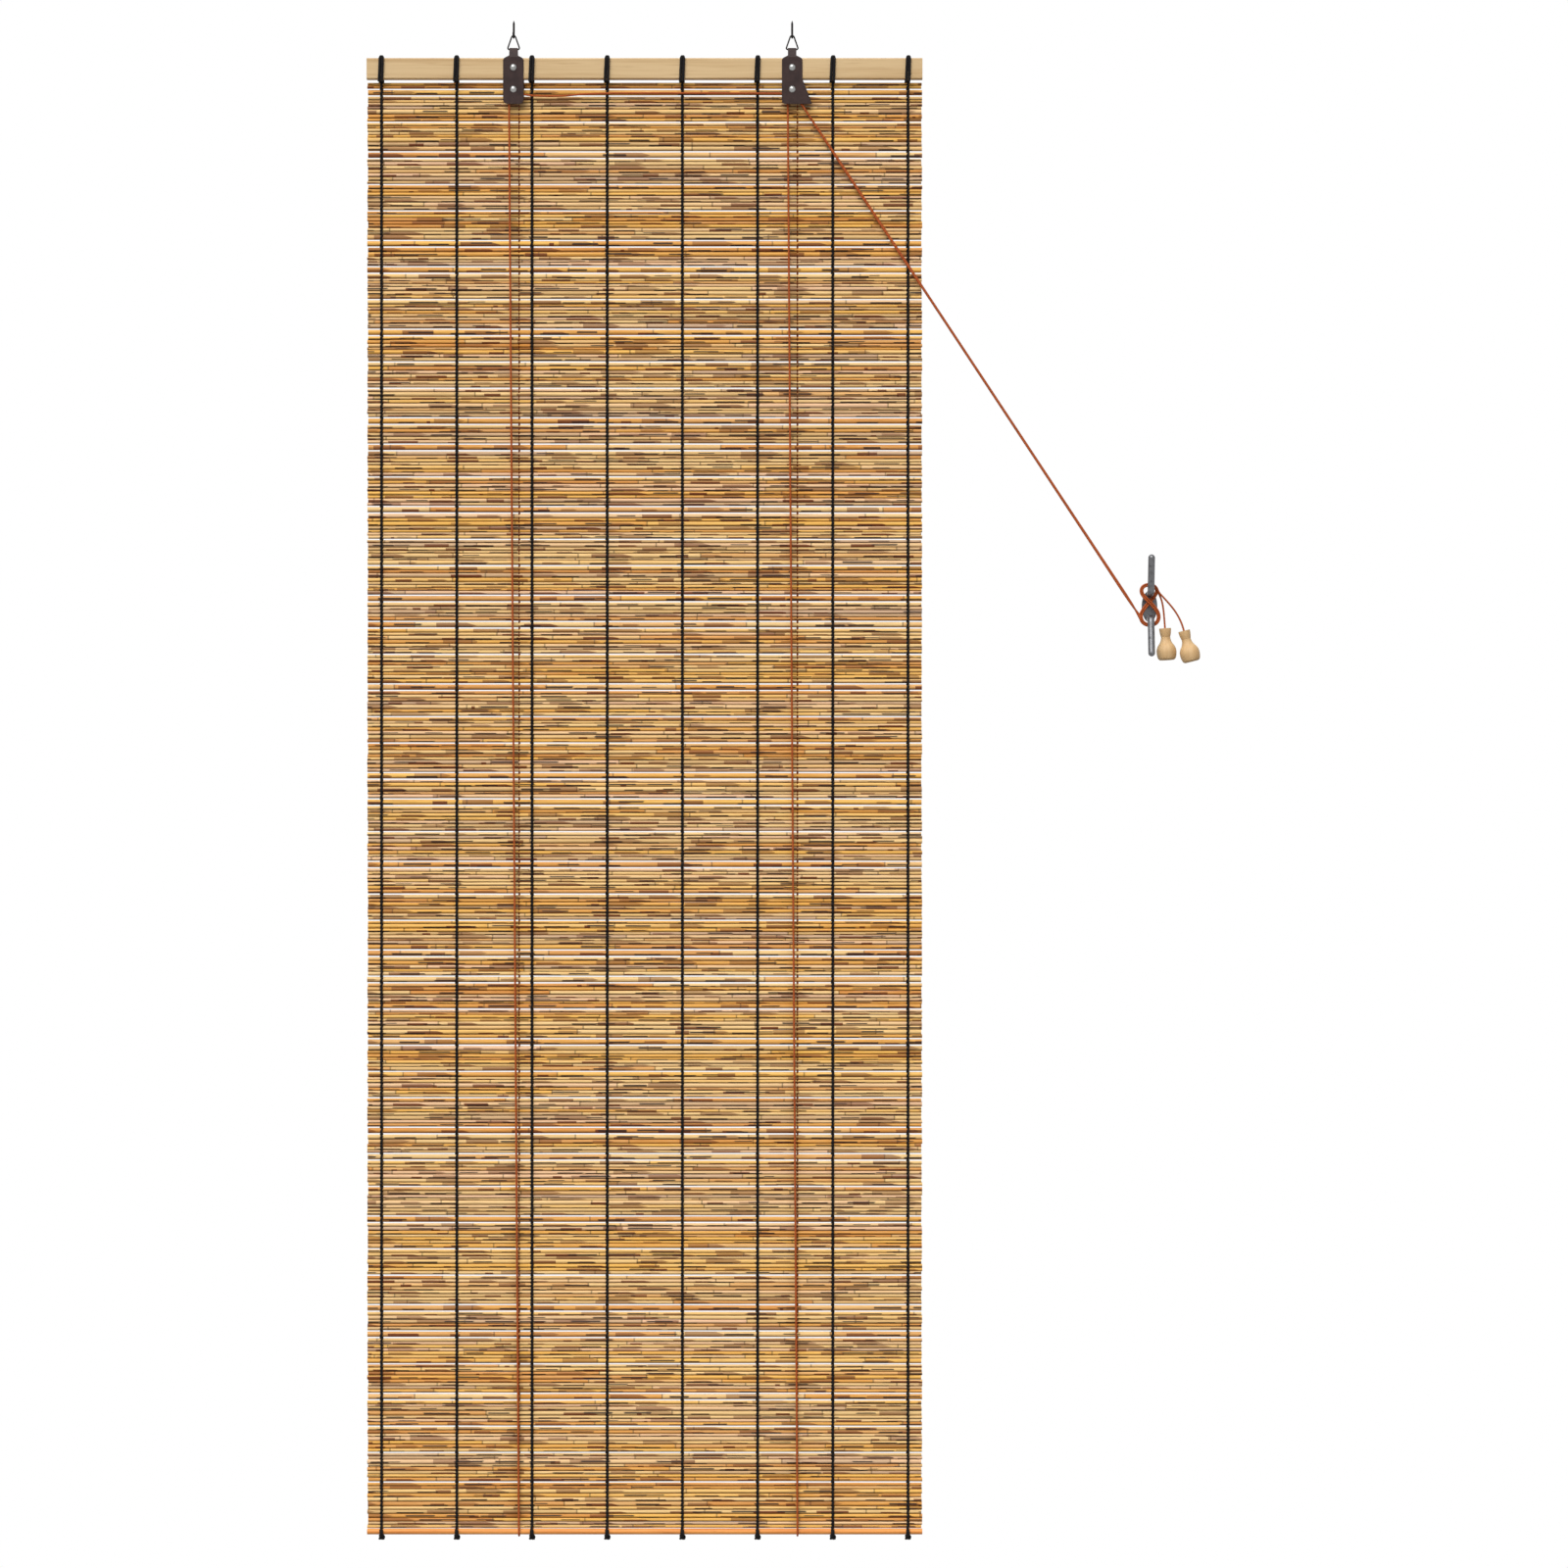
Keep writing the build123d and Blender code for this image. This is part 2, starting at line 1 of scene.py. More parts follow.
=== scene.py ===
import math
import random
import bpy
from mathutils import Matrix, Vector


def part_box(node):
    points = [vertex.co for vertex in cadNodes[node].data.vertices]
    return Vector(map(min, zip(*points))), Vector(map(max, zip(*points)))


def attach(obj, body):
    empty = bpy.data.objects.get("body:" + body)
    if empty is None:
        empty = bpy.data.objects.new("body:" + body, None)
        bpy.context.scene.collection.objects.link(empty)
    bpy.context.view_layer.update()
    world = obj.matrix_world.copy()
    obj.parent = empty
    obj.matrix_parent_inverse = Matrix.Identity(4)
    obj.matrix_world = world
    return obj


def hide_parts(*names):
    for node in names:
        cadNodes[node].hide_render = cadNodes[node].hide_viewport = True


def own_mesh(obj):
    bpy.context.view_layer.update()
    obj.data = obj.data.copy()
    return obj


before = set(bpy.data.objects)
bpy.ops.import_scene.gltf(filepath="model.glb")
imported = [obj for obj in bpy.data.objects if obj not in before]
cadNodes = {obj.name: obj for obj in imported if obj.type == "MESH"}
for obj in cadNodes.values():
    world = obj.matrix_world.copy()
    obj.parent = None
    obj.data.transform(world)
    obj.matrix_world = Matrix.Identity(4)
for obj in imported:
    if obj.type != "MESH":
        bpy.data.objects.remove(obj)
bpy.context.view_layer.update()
print("frame loaded:", len(cadNodes), "nodes")


# Places that the looks follow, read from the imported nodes

def middle(node):
    low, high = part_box(node)
    return (low + high) / 2


matLow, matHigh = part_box("reed_mat")
headLow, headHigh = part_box("head_batten")
rodLow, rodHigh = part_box("bottom_rod")
turnLow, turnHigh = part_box("lift_loops")
matY = (matLow.y + matHigh.y) / 2
rodMid = middle("bottom_rod")
leftPulley = middle("pulley_left")
rightPulley = middle("pulley_right")
cleatMid = Vector((middle("cleat").x, 0, middle("cleat").z))


# Small helpers for node trees, meshes and colours

def srgb(red, green, blue):
    def linear(level):
        share = level / 255
        return share / 12.92 if share <= 0.04045 else ((share + 0.055) / 1.055) ** 2.4
    return (linear(red), linear(green), linear(blue), 1)


def addNode(tree, kind, inputs=None, **settings):
    made = tree.nodes.new(kind)
    for key, value in settings.items():
        setattr(made, key, value)
    for key, value in (inputs or {}).items():
        if isinstance(value, bpy.types.NodeSocket):
            tree.links.new(value, made.inputs[key])
        else:
            made.inputs[key].default_value = value
    return made


def calc(tree, operation, first, second=0.0, third=0.0):
    made = addNode(tree, "ShaderNodeMath", {0: first, 1: second, 2: third}, operation=operation)
    return made.outputs[0]


def times(tree, *factors):
    made = factors[0]
    for factor in factors[1:]:
        made = calc(tree, "MULTIPLY", made, factor)
    return made


def pick(tree, share, limits):
    least, more = limits                    # the value at a share of 0, and what a share of 1 adds to it
    return calc(tree, "MULTIPLY_ADD", share, more, least)


def distance(tree, first, second):
    return calc(tree, "ABSOLUTE", calc(tree, "SUBTRACT", first, second))


def splitVector(tree, vector):
    return addNode(tree, "ShaderNodeSeparateXYZ", {0: vector}).outputs


def joinVector(tree, *parts):
    return addNode(tree, "ShaderNodeCombineXYZ", dict(enumerate(parts))).outputs[0]


def mixColour(tree, factor, first, second):
    made = addNode(tree, "ShaderNodeMix", {0: factor, 6: first, 7: second}, data_type="RGBA")
    return made.outputs[2]


def smoothStep(tree, value, low, high):
    made = addNode(tree, "ShaderNodeMapRange", {0: value, 1: low, 2: high, 3: 0.0, 4: 1.0},
                   interpolation_type="SMOOTHSTEP")
    return made.outputs[0]


def streak(tree, value, limits):
    low, high, strength = limits
    return times(tree, smoothStep(tree, value, low, high), strength)


def colourRamp(tree, factor, stops):
    made = addNode(tree, "ShaderNodeValToRGB", {0: factor})
    band = made.color_ramp
    while len(band.elements) < len(stops):
        band.elements.new(1)
    for element, (place, colour) in zip(band.elements, stops):
        element.position = place
        element.color = colour
    return made.outputs[0]


def newFinish(name):
    finish = bpy.data.materials.new(name)
    finish.use_nodes = True
    tree = finish.node_tree
    return finish, tree, tree.nodes["Principled BSDF"]


def attributeOf(tree, name, output):
    return addNode(tree, "ShaderNodeAttribute", attribute_name=name).outputs[output]


def objectPlace(tree):
    return addNode(tree, "ShaderNodeTexCoord").outputs["Object"]


def stretched(tree, scale):
    return addNode(tree, "ShaderNodeMapping", {"Vector": objectPlace(tree), "Scale": scale}).outputs[0]


def noise(tree, place, scale, detail=3.0, roughness=0.55):
    made = addNode(tree, "ShaderNodeTexNoise",
                   {"Vector": place, "Scale": scale, "Detail": detail, "Roughness": roughness})
    return made.outputs[0]


def addColour(tree, shader, colour):
    tree.links.new(colour, shader.inputs["Base Color"])


def addRoughness(tree, shader, value, limits):
    low, high = limits
    made = addNode(tree, "ShaderNodeMapRange", {0: value, 3: low, 4: high})
    tree.links.new(made.outputs[0], shader.inputs["Roughness"])


def addBump(tree, shader, height, strength, depth):
    made = addNode(tree, "ShaderNodeBump", {"Height": height, "Strength": strength, "Distance": depth})
    tree.links.new(made.outputs[0], shader.inputs["Normal"])


def lineMesh(name, routes):
    points = [tuple(point) for route in routes for point in route]
    edges = []
    start = 0
    for route in routes:
        edges += [(start + i, start + i + 1) for i in range(len(route) - 1)]
        start += len(route)
    mesh = bpy.data.meshes.new(name)
    mesh.from_pydata(points, edges, [])
    return mesh


def treeWithInputs(name, inputs):
    tree = bpy.data.node_groups.new(name, "GeometryNodeTree")
    tree.interface.new_socket("Geometry", in_out="INPUT", socket_type="NodeSocketGeometry")
    tree.interface.new_socket("Geometry", in_out="OUTPUT", socket_type="NodeSocketGeometry")
    for label, kind in inputs:
        tree.interface.new_socket(label, in_out="INPUT", socket_type=kind)
    given = tree.nodes.new("NodeGroupInput")
    result = tree.nodes.new("NodeGroupOutput")
    return tree, given, result


def growPiece(name, mesh, tree, values):
    piece = bpy.data.objects.new(name, mesh)
    bpy.context.scene.collection.objects.link(piece)
    modifier = piece.modifiers.new("grow", "NODES")
    modifier.node_group = tree
    for item in tree.interface.items_tree:
        if item.in_out == "INPUT" and item.name in values:
            modifier[item.identifier] = values[item.name]
    bpy.context.view_layer.update()
    grown = bpy.data.meshes.new_from_object(piece.evaluated_get(bpy.context.evaluated_depsgraph_get()))
    piece.modifiers.remove(modifier)
    piece.data = grown
    bpy.data.meshes.remove(mesh)
    grown.name = name
    return piece


# Length along a line and turn about it, kept for the finishes of strands and reeds

def keepLay(tree, line):
    along = addNode(tree, "GeometryNodeSplineParameter")
    return addNode(tree, "GeometryNodeStoreNamedAttribute", {
        "Geometry": line.outputs[0], "Name": "lay", "Value": along.outputs["Length"]},
        data_type="FLOAT", domain="POINT")


def keepTurn(tree, ring):
    place = addNode(tree, "GeometryNodeInputPosition")
    unit = addNode(tree, "ShaderNodeVectorMath", {0: place.outputs[0]}, operation="NORMALIZE")
    return addNode(tree, "GeometryNodeStoreNamedAttribute", {
        "Geometry": ring.outputs[0], "Name": "turn", "Value": unit.outputs[0]},
        data_type="FLOAT_VECTOR", domain="POINT")


# One tree sweeps every cord, strand and knot: lines in, tubes out

def sweepTree():
    tree, given, result = treeWithInputs("sweepStrand", [
        ("Diameter", "NodeSocketFloat"), ("Sides", "NodeSocketInt"), ("Finish", "NodeSocketMaterial")])
    path = keepLay(tree, addNode(tree, "GeometryNodeMeshToCurve", {"Mesh": given.outputs["Geometry"]}))
    radius = times(tree, given.outputs["Diameter"], 0.5)
    ring = keepTurn(tree, addNode(tree, "GeometryNodeCurvePrimitiveCircle", {
        "Resolution": given.outputs["Sides"], "Radius": radius}))
    tube = addNode(tree, "GeometryNodeCurveToMesh", {
        "Curve": path.outputs[0], "Profile Curve": ring.outputs[0], "Fill Caps": True})
    smooth = addNode(tree, "GeometryNodeSetShadeSmooth", {"Geometry": tube.outputs[0]})
    real = addNode(tree, "GeometryNodeRealizeInstances", {"Geometry": smooth.outputs[0]})
    clad = addNode(tree, "GeometryNodeSetMaterial", {
        "Geometry": real.outputs[0], "Material": given.outputs["Finish"]})
    tree.links.new(clad.outputs[0], result.inputs[0])
    return tree


strandTree = sweepTree()


def sweepStrands(name, routes, diameter, sides, finish):
    return growPiece(name, lineMesh(name + "Line", routes), strandTree,
                     {"Diameter": diameter, "Sides": sides, "Finish": finish})


def smoothLine(name, points, steps):
    curve = bpy.data.curves.new(name, "CURVE")
    curve.dimensions = "3D"
    spline = curve.splines.new("NURBS")
    spline.points.add(len(points) - 1)
    for place, point in zip(spline.points, points):
        place.co = (*point, 1)
    spline.order_u = 3
    spline.use_endpoint_u = True
    spline.resolution_u = steps
    holder = bpy.data.objects.new(name, curve)
    bpy.context.scene.collection.objects.link(holder)
    bpy.context.view_layer.update()
    mesh = bpy.data.meshes.new_from_object(holder.evaluated_get(bpy.context.evaluated_depsgraph_get()))
    line = [vertex.co.copy() for vertex in mesh.vertices]
    bpy.data.objects.remove(holder)
    bpy.data.curves.remove(curve)
    bpy.data.meshes.remove(mesh)
    return line


# Camera: square on to the blind, as wide as the photograph
cameraPlan = {
    "frameWidth": 1.6968, "distance": 5.0, "x": 0.1418, "z": -0.8148, "sensor": 36.0, "farthest": 100,
}

lens = bpy.data.cameras.new("photoCamera")
lens.sensor_width = cameraPlan["sensor"]
lens.lens = cameraPlan["sensor"] * cameraPlan["distance"] / cameraPlan["frameWidth"]
lens.clip_end = cameraPlan["farthest"]
photoCamera = bpy.data.objects.new("photoCamera", lens)
photoCamera.location = (cameraPlan["x"], matY - cameraPlan["distance"], cameraPlan["z"])
photoCamera.rotation_euler = (math.radians(90), 0, 0)
bpy.context.scene.collection.objects.link(photoCamera)
bpy.context.scene.camera = photoCamera
print("camera placed")


# Finishes: a noise is given as scale, detail and roughness, a streak as its two limits and strength,
# a bump as strength and depth

strandFinish = {
    # deep: the colour of the painted shade in the braid's valleys, and of random darker patches
    "rustBraid": {
        "base": srgb(182, 88, 38), "deep": srgb(122, 54, 24), "pale": srgb(204, 124, 70),
        "plies": 3, "pitch": 0.0032, "roughness": 0.78},
    "blackCotton": {
        "base": srgb(20, 17, 18), "deep": srgb(8, 7, 8), "pale": srgb(44, 36, 34),
        "plies": 2, "pitch": 0.0036, "roughness": 0.9},
    "ridge": (0.5, 0.5), "fluff": (2600.0, 4.0, 0.7), "fluffEdge": (0.56, 0.8), "fluffRise": 0.5,
    "patch": (70.0, 2.0), "patchStreak": (0.5, 0.75, 0.35), "gloss": 0.25, "bump": (0.6, 0.0003),
}


def braidedFinish(name):
    shared, cord = strandFinish, strandFinish[name]
    finish, tree, shader = newFinish(name)
    turn = splitVector(tree, attributeOf(tree, "turn", "Vector"))
    angle = calc(tree, "ARCTAN2", turn[1], turn[0])
    run = times(tree, attributeOf(tree, "lay", "Fac"), 2 * math.pi / cord["pitch"])
    wound = times(tree, angle, cord["plies"])
    oneWay = calc(tree, "SINE", calc(tree, "ADD", wound, run))
    otherWay = calc(tree, "SINE", calc(tree, "SUBTRACT", wound, run))
    ridge = pick(tree, calc(tree, "MAXIMUM", oneWay, otherWay), shared["ridge"])
    fluff = noise(tree, objectPlace(tree), *shared["fluff"])
    patch = noise(tree, objectPlace(tree), *shared["patch"])
    # the braid's plies, with painted shade: the valleys between them take the deep colour, matched by the
    # bump
    colour = mixColour(tree, ridge, cord["deep"], cord["base"])
    colour = mixColour(tree, smoothStep(tree, fluff, *shared["fluffEdge"]), colour, cord["pale"])
    colour = mixColour(tree, streak(tree, patch, shared["patchStreak"]), colour, cord["deep"])
    addColour(tree, shader, colour)
    shader.inputs["Roughness"].default_value = cord["roughness"]
    shader.inputs["Specular IOR Level"].default_value = shared["gloss"]
    addBump(tree, shader, calc(tree, "MULTIPLY_ADD", fluff, shared["fluffRise"], ridge), *shared["bump"])
    return finish


rustCord = braidedFinish("rustBraid")
blackCotton = braidedFinish("blackCotton")

reedFinish = {
    "blush": srgb(224, 182, 144), "straw": srgb(231, 194, 132), "gold": srgb(231, 177, 83),
    "amber": srgb(206, 138, 62), "olive": srgb(204, 165, 106), "grey": srgb(198, 164, 132),
    # the last colour here is painted shade for each reed's lower edge, where the next reed lies against it
    "sheath": srgb(106, 47, 12), "rag": srgb(42, 20, 8), "seamShade": srgb(86, 38, 10),
    "ring": srgb(84, 52, 28), "cream": srgb(244, 212, 156),
    "tones": ((0.0, "blush"), (0.22, "straw"), (0.42, "gold"), (0.6, "amber"),
              (0.76, "straw"), (0.9, "olive"), (1.0, "grey")),
    "joint": 0.16, "toneSwing": 0.22,       # from joint to joint, and how far the tone strays there
    "cellSeed": 7.31, "fibreSeed": 3.1, "sheathSeed": 1.9, "ragSeed": 3.7,
    "fibreAlong": 16.0, "fibreAcross": 3.2, "fibre": (1.6, 4.0, 0.62),
    "paleStreak": (0.52, 0.72, 0.45), "darkStreak": (0.5, 0.3, 0.4),
    # where the painted shade on each reed's lower edge begins and ends, and how strong it is
    "seamShadeEdge": (-0.2, -0.85), "seamShadeDepth": (0.25, 0.6),
    "sheathPitch": 0.075, "sheathShare": 0.85, "sheathSide": (0.1, -0.8), "sheathReach": (0.24, 0.38),
    "sheathTongue": 0.14, "sheathRunOut": (0.0, 0.03), "sheathWidth": (0.32, 0.8),
    "sheathEdge": (-0.05, 0.1), "sheathDepth": (0.5, 0.45),
    "ragPitch": 0.045, "ragShare": 0.62, "ragFray": 0.008, "ragSide": (0.2, -1.0), "ragReach": (0.18, 0.2),
    "ragWidth": (0.2, 0.24), "ragEdge": (-0.02, 0.06), "ragDepth": 0.92,
    "ringEdge": (0.003, 0.007), "ringDepth": 0.6, "ringRise": 0.5,
    "roughness": (0.4, 0.62), "gloss": 0.25, "bump": (0.35, 0.0003),
}


def cellsAlong(tree, along, seed, length, feature="F1"):
    place = calc(tree, "MULTIPLY_ADD", along, 1 / length, times(tree, seed, reedFinish["cellSeed"]))
    cell = addNode(tree, "ShaderNodeTexVoronoi", {"W": place, "Scale": 1.0},
                   voronoi_dimensions="1D", feature=feature)
    return cell, place


def drawsOf(tree, cell):
    return addNode(tree, "ShaderNodeSeparateColor", {0: cell.outputs["Color"]}).outputs


def reedSkin():
    plan = reedFinish
    finish, tree, shader = newFinish("reedSkin")
    seed = attributeOf(tree, "reedSeed", "Fac")
    tone = attributeOf(tree, "reedTone", "Fac")
    lay = attributeOf(tree, "lay", "Fac")
    turn = splitVector(tree, attributeOf(tree, "turn", "Vector"))
    upward = times(tree, turn[1], -1.0)     # the section's second axis points down
    # fibres run along the reed, fine across it
    skin = joinVector(
        tree, calc(tree, "MULTIPLY_ADD", lay, plan["fibreAlong"], times(tree, seed, plan["fibreSeed"])),
        times(tree, turn[0], plan["fibreAcross"]),
        calc(tree, "MULTIPLY_ADD", turn[1], plan["fibreAcross"], seed))
    fibre = noise(tree, skin, *plan["fibre"])
    # each stretch between two joints has a tone of its own
    stretch = drawsOf(tree, cellsAlong(tree, lay, seed, plan["joint"])[0])
    hue = calc(tree, "FRACT", calc(tree, "MULTIPLY_ADD", stretch[0], plan["toneSwing"], tone))
    colour = colourRamp(tree, hue, [(stop, plan[label]) for stop, label in plan["tones"]])
    colour = mixColour(tree, streak(tree, fibre, plan["paleStreak"]), colour, plan["cream"])
    colour = mixColour(tree, streak(tree, fibre, plan["darkStreak"]), colour, plan["sheath"])
    # painted shade: the lower edge is darkened where the next reed lies against it, standing in for the
    # shade between the reeds
    under = smoothStep(tree, upward, *plan["seamShadeEdge"])
    seamShade = times(tree, under, pick(tree, stretch[1], plan["seamShadeDepth"]))
    colour = mixColour(tree, seamShade, colour, plan["seamShade"])
    # brown leaf sheath starts sharply at a joint and runs out in a tongue
    cell, place = cellsAlong(tree, lay, calc(tree, "ADD", seed, plan["sheathSeed"]), plan["sheathPitch"])
    leaf = drawsOf(tree, cell)
    past = calc(tree, "SUBTRACT", place, cell.outputs["W"])
    side = distance(tree, upward, pick(tree, leaf[0], plan["sheathSide"]))
    reach = pick(tree, leaf[2], plan["sheathReach"])
    reach = calc(tree, "SUBTRACT", reach, times(tree, side, plan["sheathTongue"]))
    begun = calc(tree, "GREATER_THAN", past, 0.0)
    left = smoothStep(tree, calc(tree, "SUBTRACT", reach, past), *plan["sheathRunOut"])
    clad = calc(tree, "LESS_THAN", leaf[1], plan["sheathShare"])
    width = pick(tree, leaf[2], plan["sheathWidth"])
    inside = smoothStep(tree, calc(tree, "SUBTRACT", width, side), *plan["sheathEdge"])
    depth = pick(tree, leaf[0], plan["sheathDepth"])
    colour = mixColour(tree, times(tree, begun, left, clad, inside, depth), colour, plan["sheath"])
    # dark rags of it, thin and blunt, most of them low on the reed
    ragged = calc(tree, "MULTIPLY_ADD", fibre, plan["ragFray"], lay)
    cell, place = cellsAlong(tree, ragged, calc(tree, "ADD", seed, plan["ragSeed"]), plan["ragPitch"])
    rag = drawsOf(tree, cell)
    side = distance(tree, upward, pick(tree, rag[2], plan["ragSide"]))
    blunt = calc(tree, "LESS_THAN", cell.outputs["Distance"], pick(tree, rag[0], plan["ragReach"]))
    width = pick(tree, rag[0], plan["ragWidth"])
    inside = smoothStep(tree, calc(tree, "SUBTRACT", width, side), *plan["ragEdge"])
    chosen = calc(tree, "LESS_THAN", rag[1], plan["ragShare"])
    colour = mixColour(tree, times(tree, inside, blunt, chosen, plan["ragDepth"]), colour, plan["rag"])
    # a thin ring at each joint
    edge = cellsAlong(tree, lay, seed, plan["joint"], "DISTANCE_TO_EDGE")[0].outputs["Distance"]
    ring = calc(tree, "SUBTRACT", 1.0, smoothStep(tree, edge, *plan["ringEdge"]))
    colour = mixColour(tree, times(tree, ring, plan["ringDepth"]), colour, plan["ring"])
    addColour(tree, shader, colour)
    addRoughness(tree, shader, fibre, plan["roughness"])
    shader.inputs["Specular IOR Level"].default_value = plan["gloss"]
    addBump(tree, shader, calc(tree, "MULTIPLY_ADD", ring, plan["ringRise"], fibre), *plan["bump"])
    return finish


woodFinish = {
    "battenWood": {
        "pale": srgb(208, 178, 132), "mid": srgb(190, 156, 108), "deep": srgb(164, 124, 78),
        "grain": (5, 160, 160)},
    "rodWood": {
        "pale": srgb(232, 154, 74), "mid": srgb(206, 122, 48), "deep": srgb(150, 80, 30),
        "grain": (8, 320, 320)},
    "knobWood": {
        "pale": srgb(210, 175, 127), "mid": srgb(200, 162, 112), "deep": srgb(187, 145, 95),
        "grain": (190, 190, 22)},
    "finer": 3.0, "broad": (1.0, 3.0), "fine": (1.0, 5.0, 0.65), "broadEdge": (0.35, 0.7),
    "lines": (0.55, 0.72, 0.5), "roughness": (0.45, 0.7), "bump": (0.25, 0.0003),
}


def turnedWood(name):
    shared, wood = woodFinish, woodFinish[name]
    finish, tree, shader = newFinish(name)
    broad = noise(tree, stretched(tree, wood["grain"]), *shared["broad"])
    fineGrain = tuple(shared["finer"] * part for part in wood["grain"])
    fine = noise(tree, stretched(tree, fineGrain), *shared["fine"])
    colour = mixColour(tree, smoothStep(tree, broad, *shared["broadEdge"]), wood["pale"], wood["mid"])
    colour = mixColour(tree, streak(tree, fine, shared["lines"]), colour, wood["deep"])
    addColour(tree, shader, colour)
    addRoughness(tree, shader, fine, shared["roughness"])
    addBump(tree, shader, fine, *shared["bump"])
    return finish


metalFinish = {
    "brightSteel": {"pale": srgb(158, 158, 156), "deep": srgb(96, 96, 96), "roughness": 0.2, "grime": 0.5},
    "darkSteel": {"pale": srgb(46, 43, 43), "deep": srgb(30, 28, 28), "roughness": 0.55, "grime": 0.6},
    "castZinc": {"pale": srgb(112, 112, 114), "deep": srgb(70, 70, 72), "roughness": 0.32, "grime": 0.7},
    "mottle": (220.0, 4.0, 0.6), "mottleEdge": (0.45, 0.75), "fine": (1500.0, 3.0, 0.6),
    "rougher": 0.18, "bump": (0.12, 0.0002),
}


def platedMetal(name):
    shared, metal = metalFinish, metalFinish[name]
    finish, tree, shader = newFinish(name)
    mottle = noise(tree, objectPlace(tree), *shared["mottle"])
    fine = noise(tree, objectPlace(tree), *shared["fine"])
    grime = streak(tree, mottle, (*shared["mottleEdge"], metal["grime"]))
    addColour(tree, shader, mixColour(tree, grime, metal["pale"], metal["deep"]))
    shader.inputs["Metallic"].default_value = 1.0
    addRoughness(tree, shader, fine, (metal["roughness"], metal["roughness"] + shared["rougher"]))
    addBump(tree, shader, fine, *shared["bump"])
    return finish


paintFinish = {
    "brownPaint": {"pale": srgb(60, 45, 43), "deep": srgb(48, 36, 35), "worn": srgb(78, 62, 59)},
    "pulleyPlastic": {"pale": srgb(52, 44, 42), "deep": srgb(40, 34, 33), "worn": srgb(76, 68, 64)},
    "mottle": (160.0, 4.0, 0.6), "mottleEdge": (0.3, 0.7), "grit": (1800.0, 3.0, 0.6),
    "wear": (0.62, 0.8, 0.5), "roughness": (0.38, 0.6), "gloss": 0.15, "bump": (0.15, 0.0002),
}


def paintedSheet(name):
    shared, paint = paintFinish, paintFinish[name]
    finish, tree, shader = newFinish(name)
    mottle = noise(tree, objectPlace(tree), *shared["mottle"])
    grit = noise(tree, objectPlace(tree), *shared["grit"])
    colour = mixColour(tree, smoothStep(tree, mottle, *shared["mottleEdge"]), paint["deep"], paint["pale"])
    colour = mixColour(tree, streak(tree, grit, shared["wear"]), colour, paint["worn"])
    addColour(tree, shader, colour)
    addRoughness(tree, shader, grit, shared["roughness"])
    shader.inputs["Specular IOR Level"].default_value = shared["gloss"]
    addBump(tree, shader, grit, *shared["bump"])
    return finish


cadFinishes = (
    (turnedWood("battenWood"), ("head_batten",)),
    (turnedWood("rodWood"), ("bottom_rod",)),
    (turnedWood("knobWood"), ("knob_near", "knob_far")),
    (paintedSheet("brownPaint"), ("bracket_left", "bracket_right", "pulley_axles")),
    (platedMetal("brightSteel"), ("bracket_rivets",)),
    (platedMetal("darkSteel"), ("screw_hooks", "hanger_rings")),
    (platedMetal("castZinc"), ("cleat", "cleat_screws")),
    (paintedSheet("pulleyPlastic"), ("pulley_left", "pulley_right")),
)
for finish, nodes in cadFinishes:
    for node in nodes:
        cadNodes[node].data.materials.clear()
        cadNodes[node].data.materials.append(finish)
print("finishes made:", len(bpy.data.materials))


# Pull cords: tight over the pulleys to the cleat, two figure-of-eight passes, then the tails into the knobs
pullPlan = {
    "diameter": 0.0021, "sides": 8, "steps": 10,
    "pulleyRadius": 0.00477,                # the cords' middle line on a pulley
    "frontLane": -0.00655, "backLane": -0.00435,
    "apart": 0.0006,                        # half the spacing of the pair on its way to the cleat
    "sideBySide": 0.00106,                  # and in the turns
    "passDepths": (-0.0044, -0.0066), "crossDepths": (-0.0034, -0.0055, -0.0077),
    "sag": ((0.008, -0.0006), (0.022, -0.0026), (0.05, -0.0032), (0.084, 0.0004), (0.19, 0.0004)),
    "beforePulley": 6,                      # diameters of cord from the last of the sag to the right pulley
    "run": ((0.02, 0.0), (0.1, 1.0), (0.5, 0.8), (0.9, 1.0), (0.97, 1.5)),  # share of the way and of apart
    "sink": (0.8, 0.2),                     # where on the way the pair goes back to the turns, how long
    "inKnob": 0.014, "knotInKnob": 0.0286, "tilts": {"near": 3.5, "far": 14.3},
}
# one figure of eight about the cleat's middle, in mm: under the lower post, over the upper one and back
eightRoute = (
    (-10.4, -12.8), (-8.8, -17.2), (-4.6, -20.2), (1.0, -20.8), (6.4, -18.8), (9.3, -13.4), (8.2, -6.8),
    (3.6, -0.6), (-2.8, 6.0), (-7.8, 11.0), (-10.0, 15.6), (-9.0, 20.0), (-5.2, 22.6), (0.4, 23.0),
    (5.6, 20.6), (7.6, 16.2), (4.8, 11.0), (-1.0, 4.4), (-6.2, -2.0), (-10.2, -8.0))
crossLayers = {7: 0, 8: 0, 17: 1, 18: 1, 27: 2, 28: 2}      # points beside the crossing, and their layer
lastTurn = 14                                               # where the second pass leaves for the tails
nearTail = ((9.4, 13.2), (12.4, 6.0), (14.3, -4.2), (15.9, -24.1))
farTail = ((9.1, 14.3), (13.9, 9.4), (20.7, 1.9), (27.6, -6.9), (33.1, -17.2), (36.2, -26.8))


def atCleat(x, z, y):
    return Vector((cleatMid.x + x / 1000, y, cleatMid.z + z / 1000))


def besideRoute(points, i, amount):
    before, after = points[max(i - 1, 0)], points[min(i + 1, len(points) - 1)]
    across = Vector((before[1] - after[1], after[0] - before[0])).normalized()
    return points[i][0] + across.x * amount, points[i][1] + across.y * amount


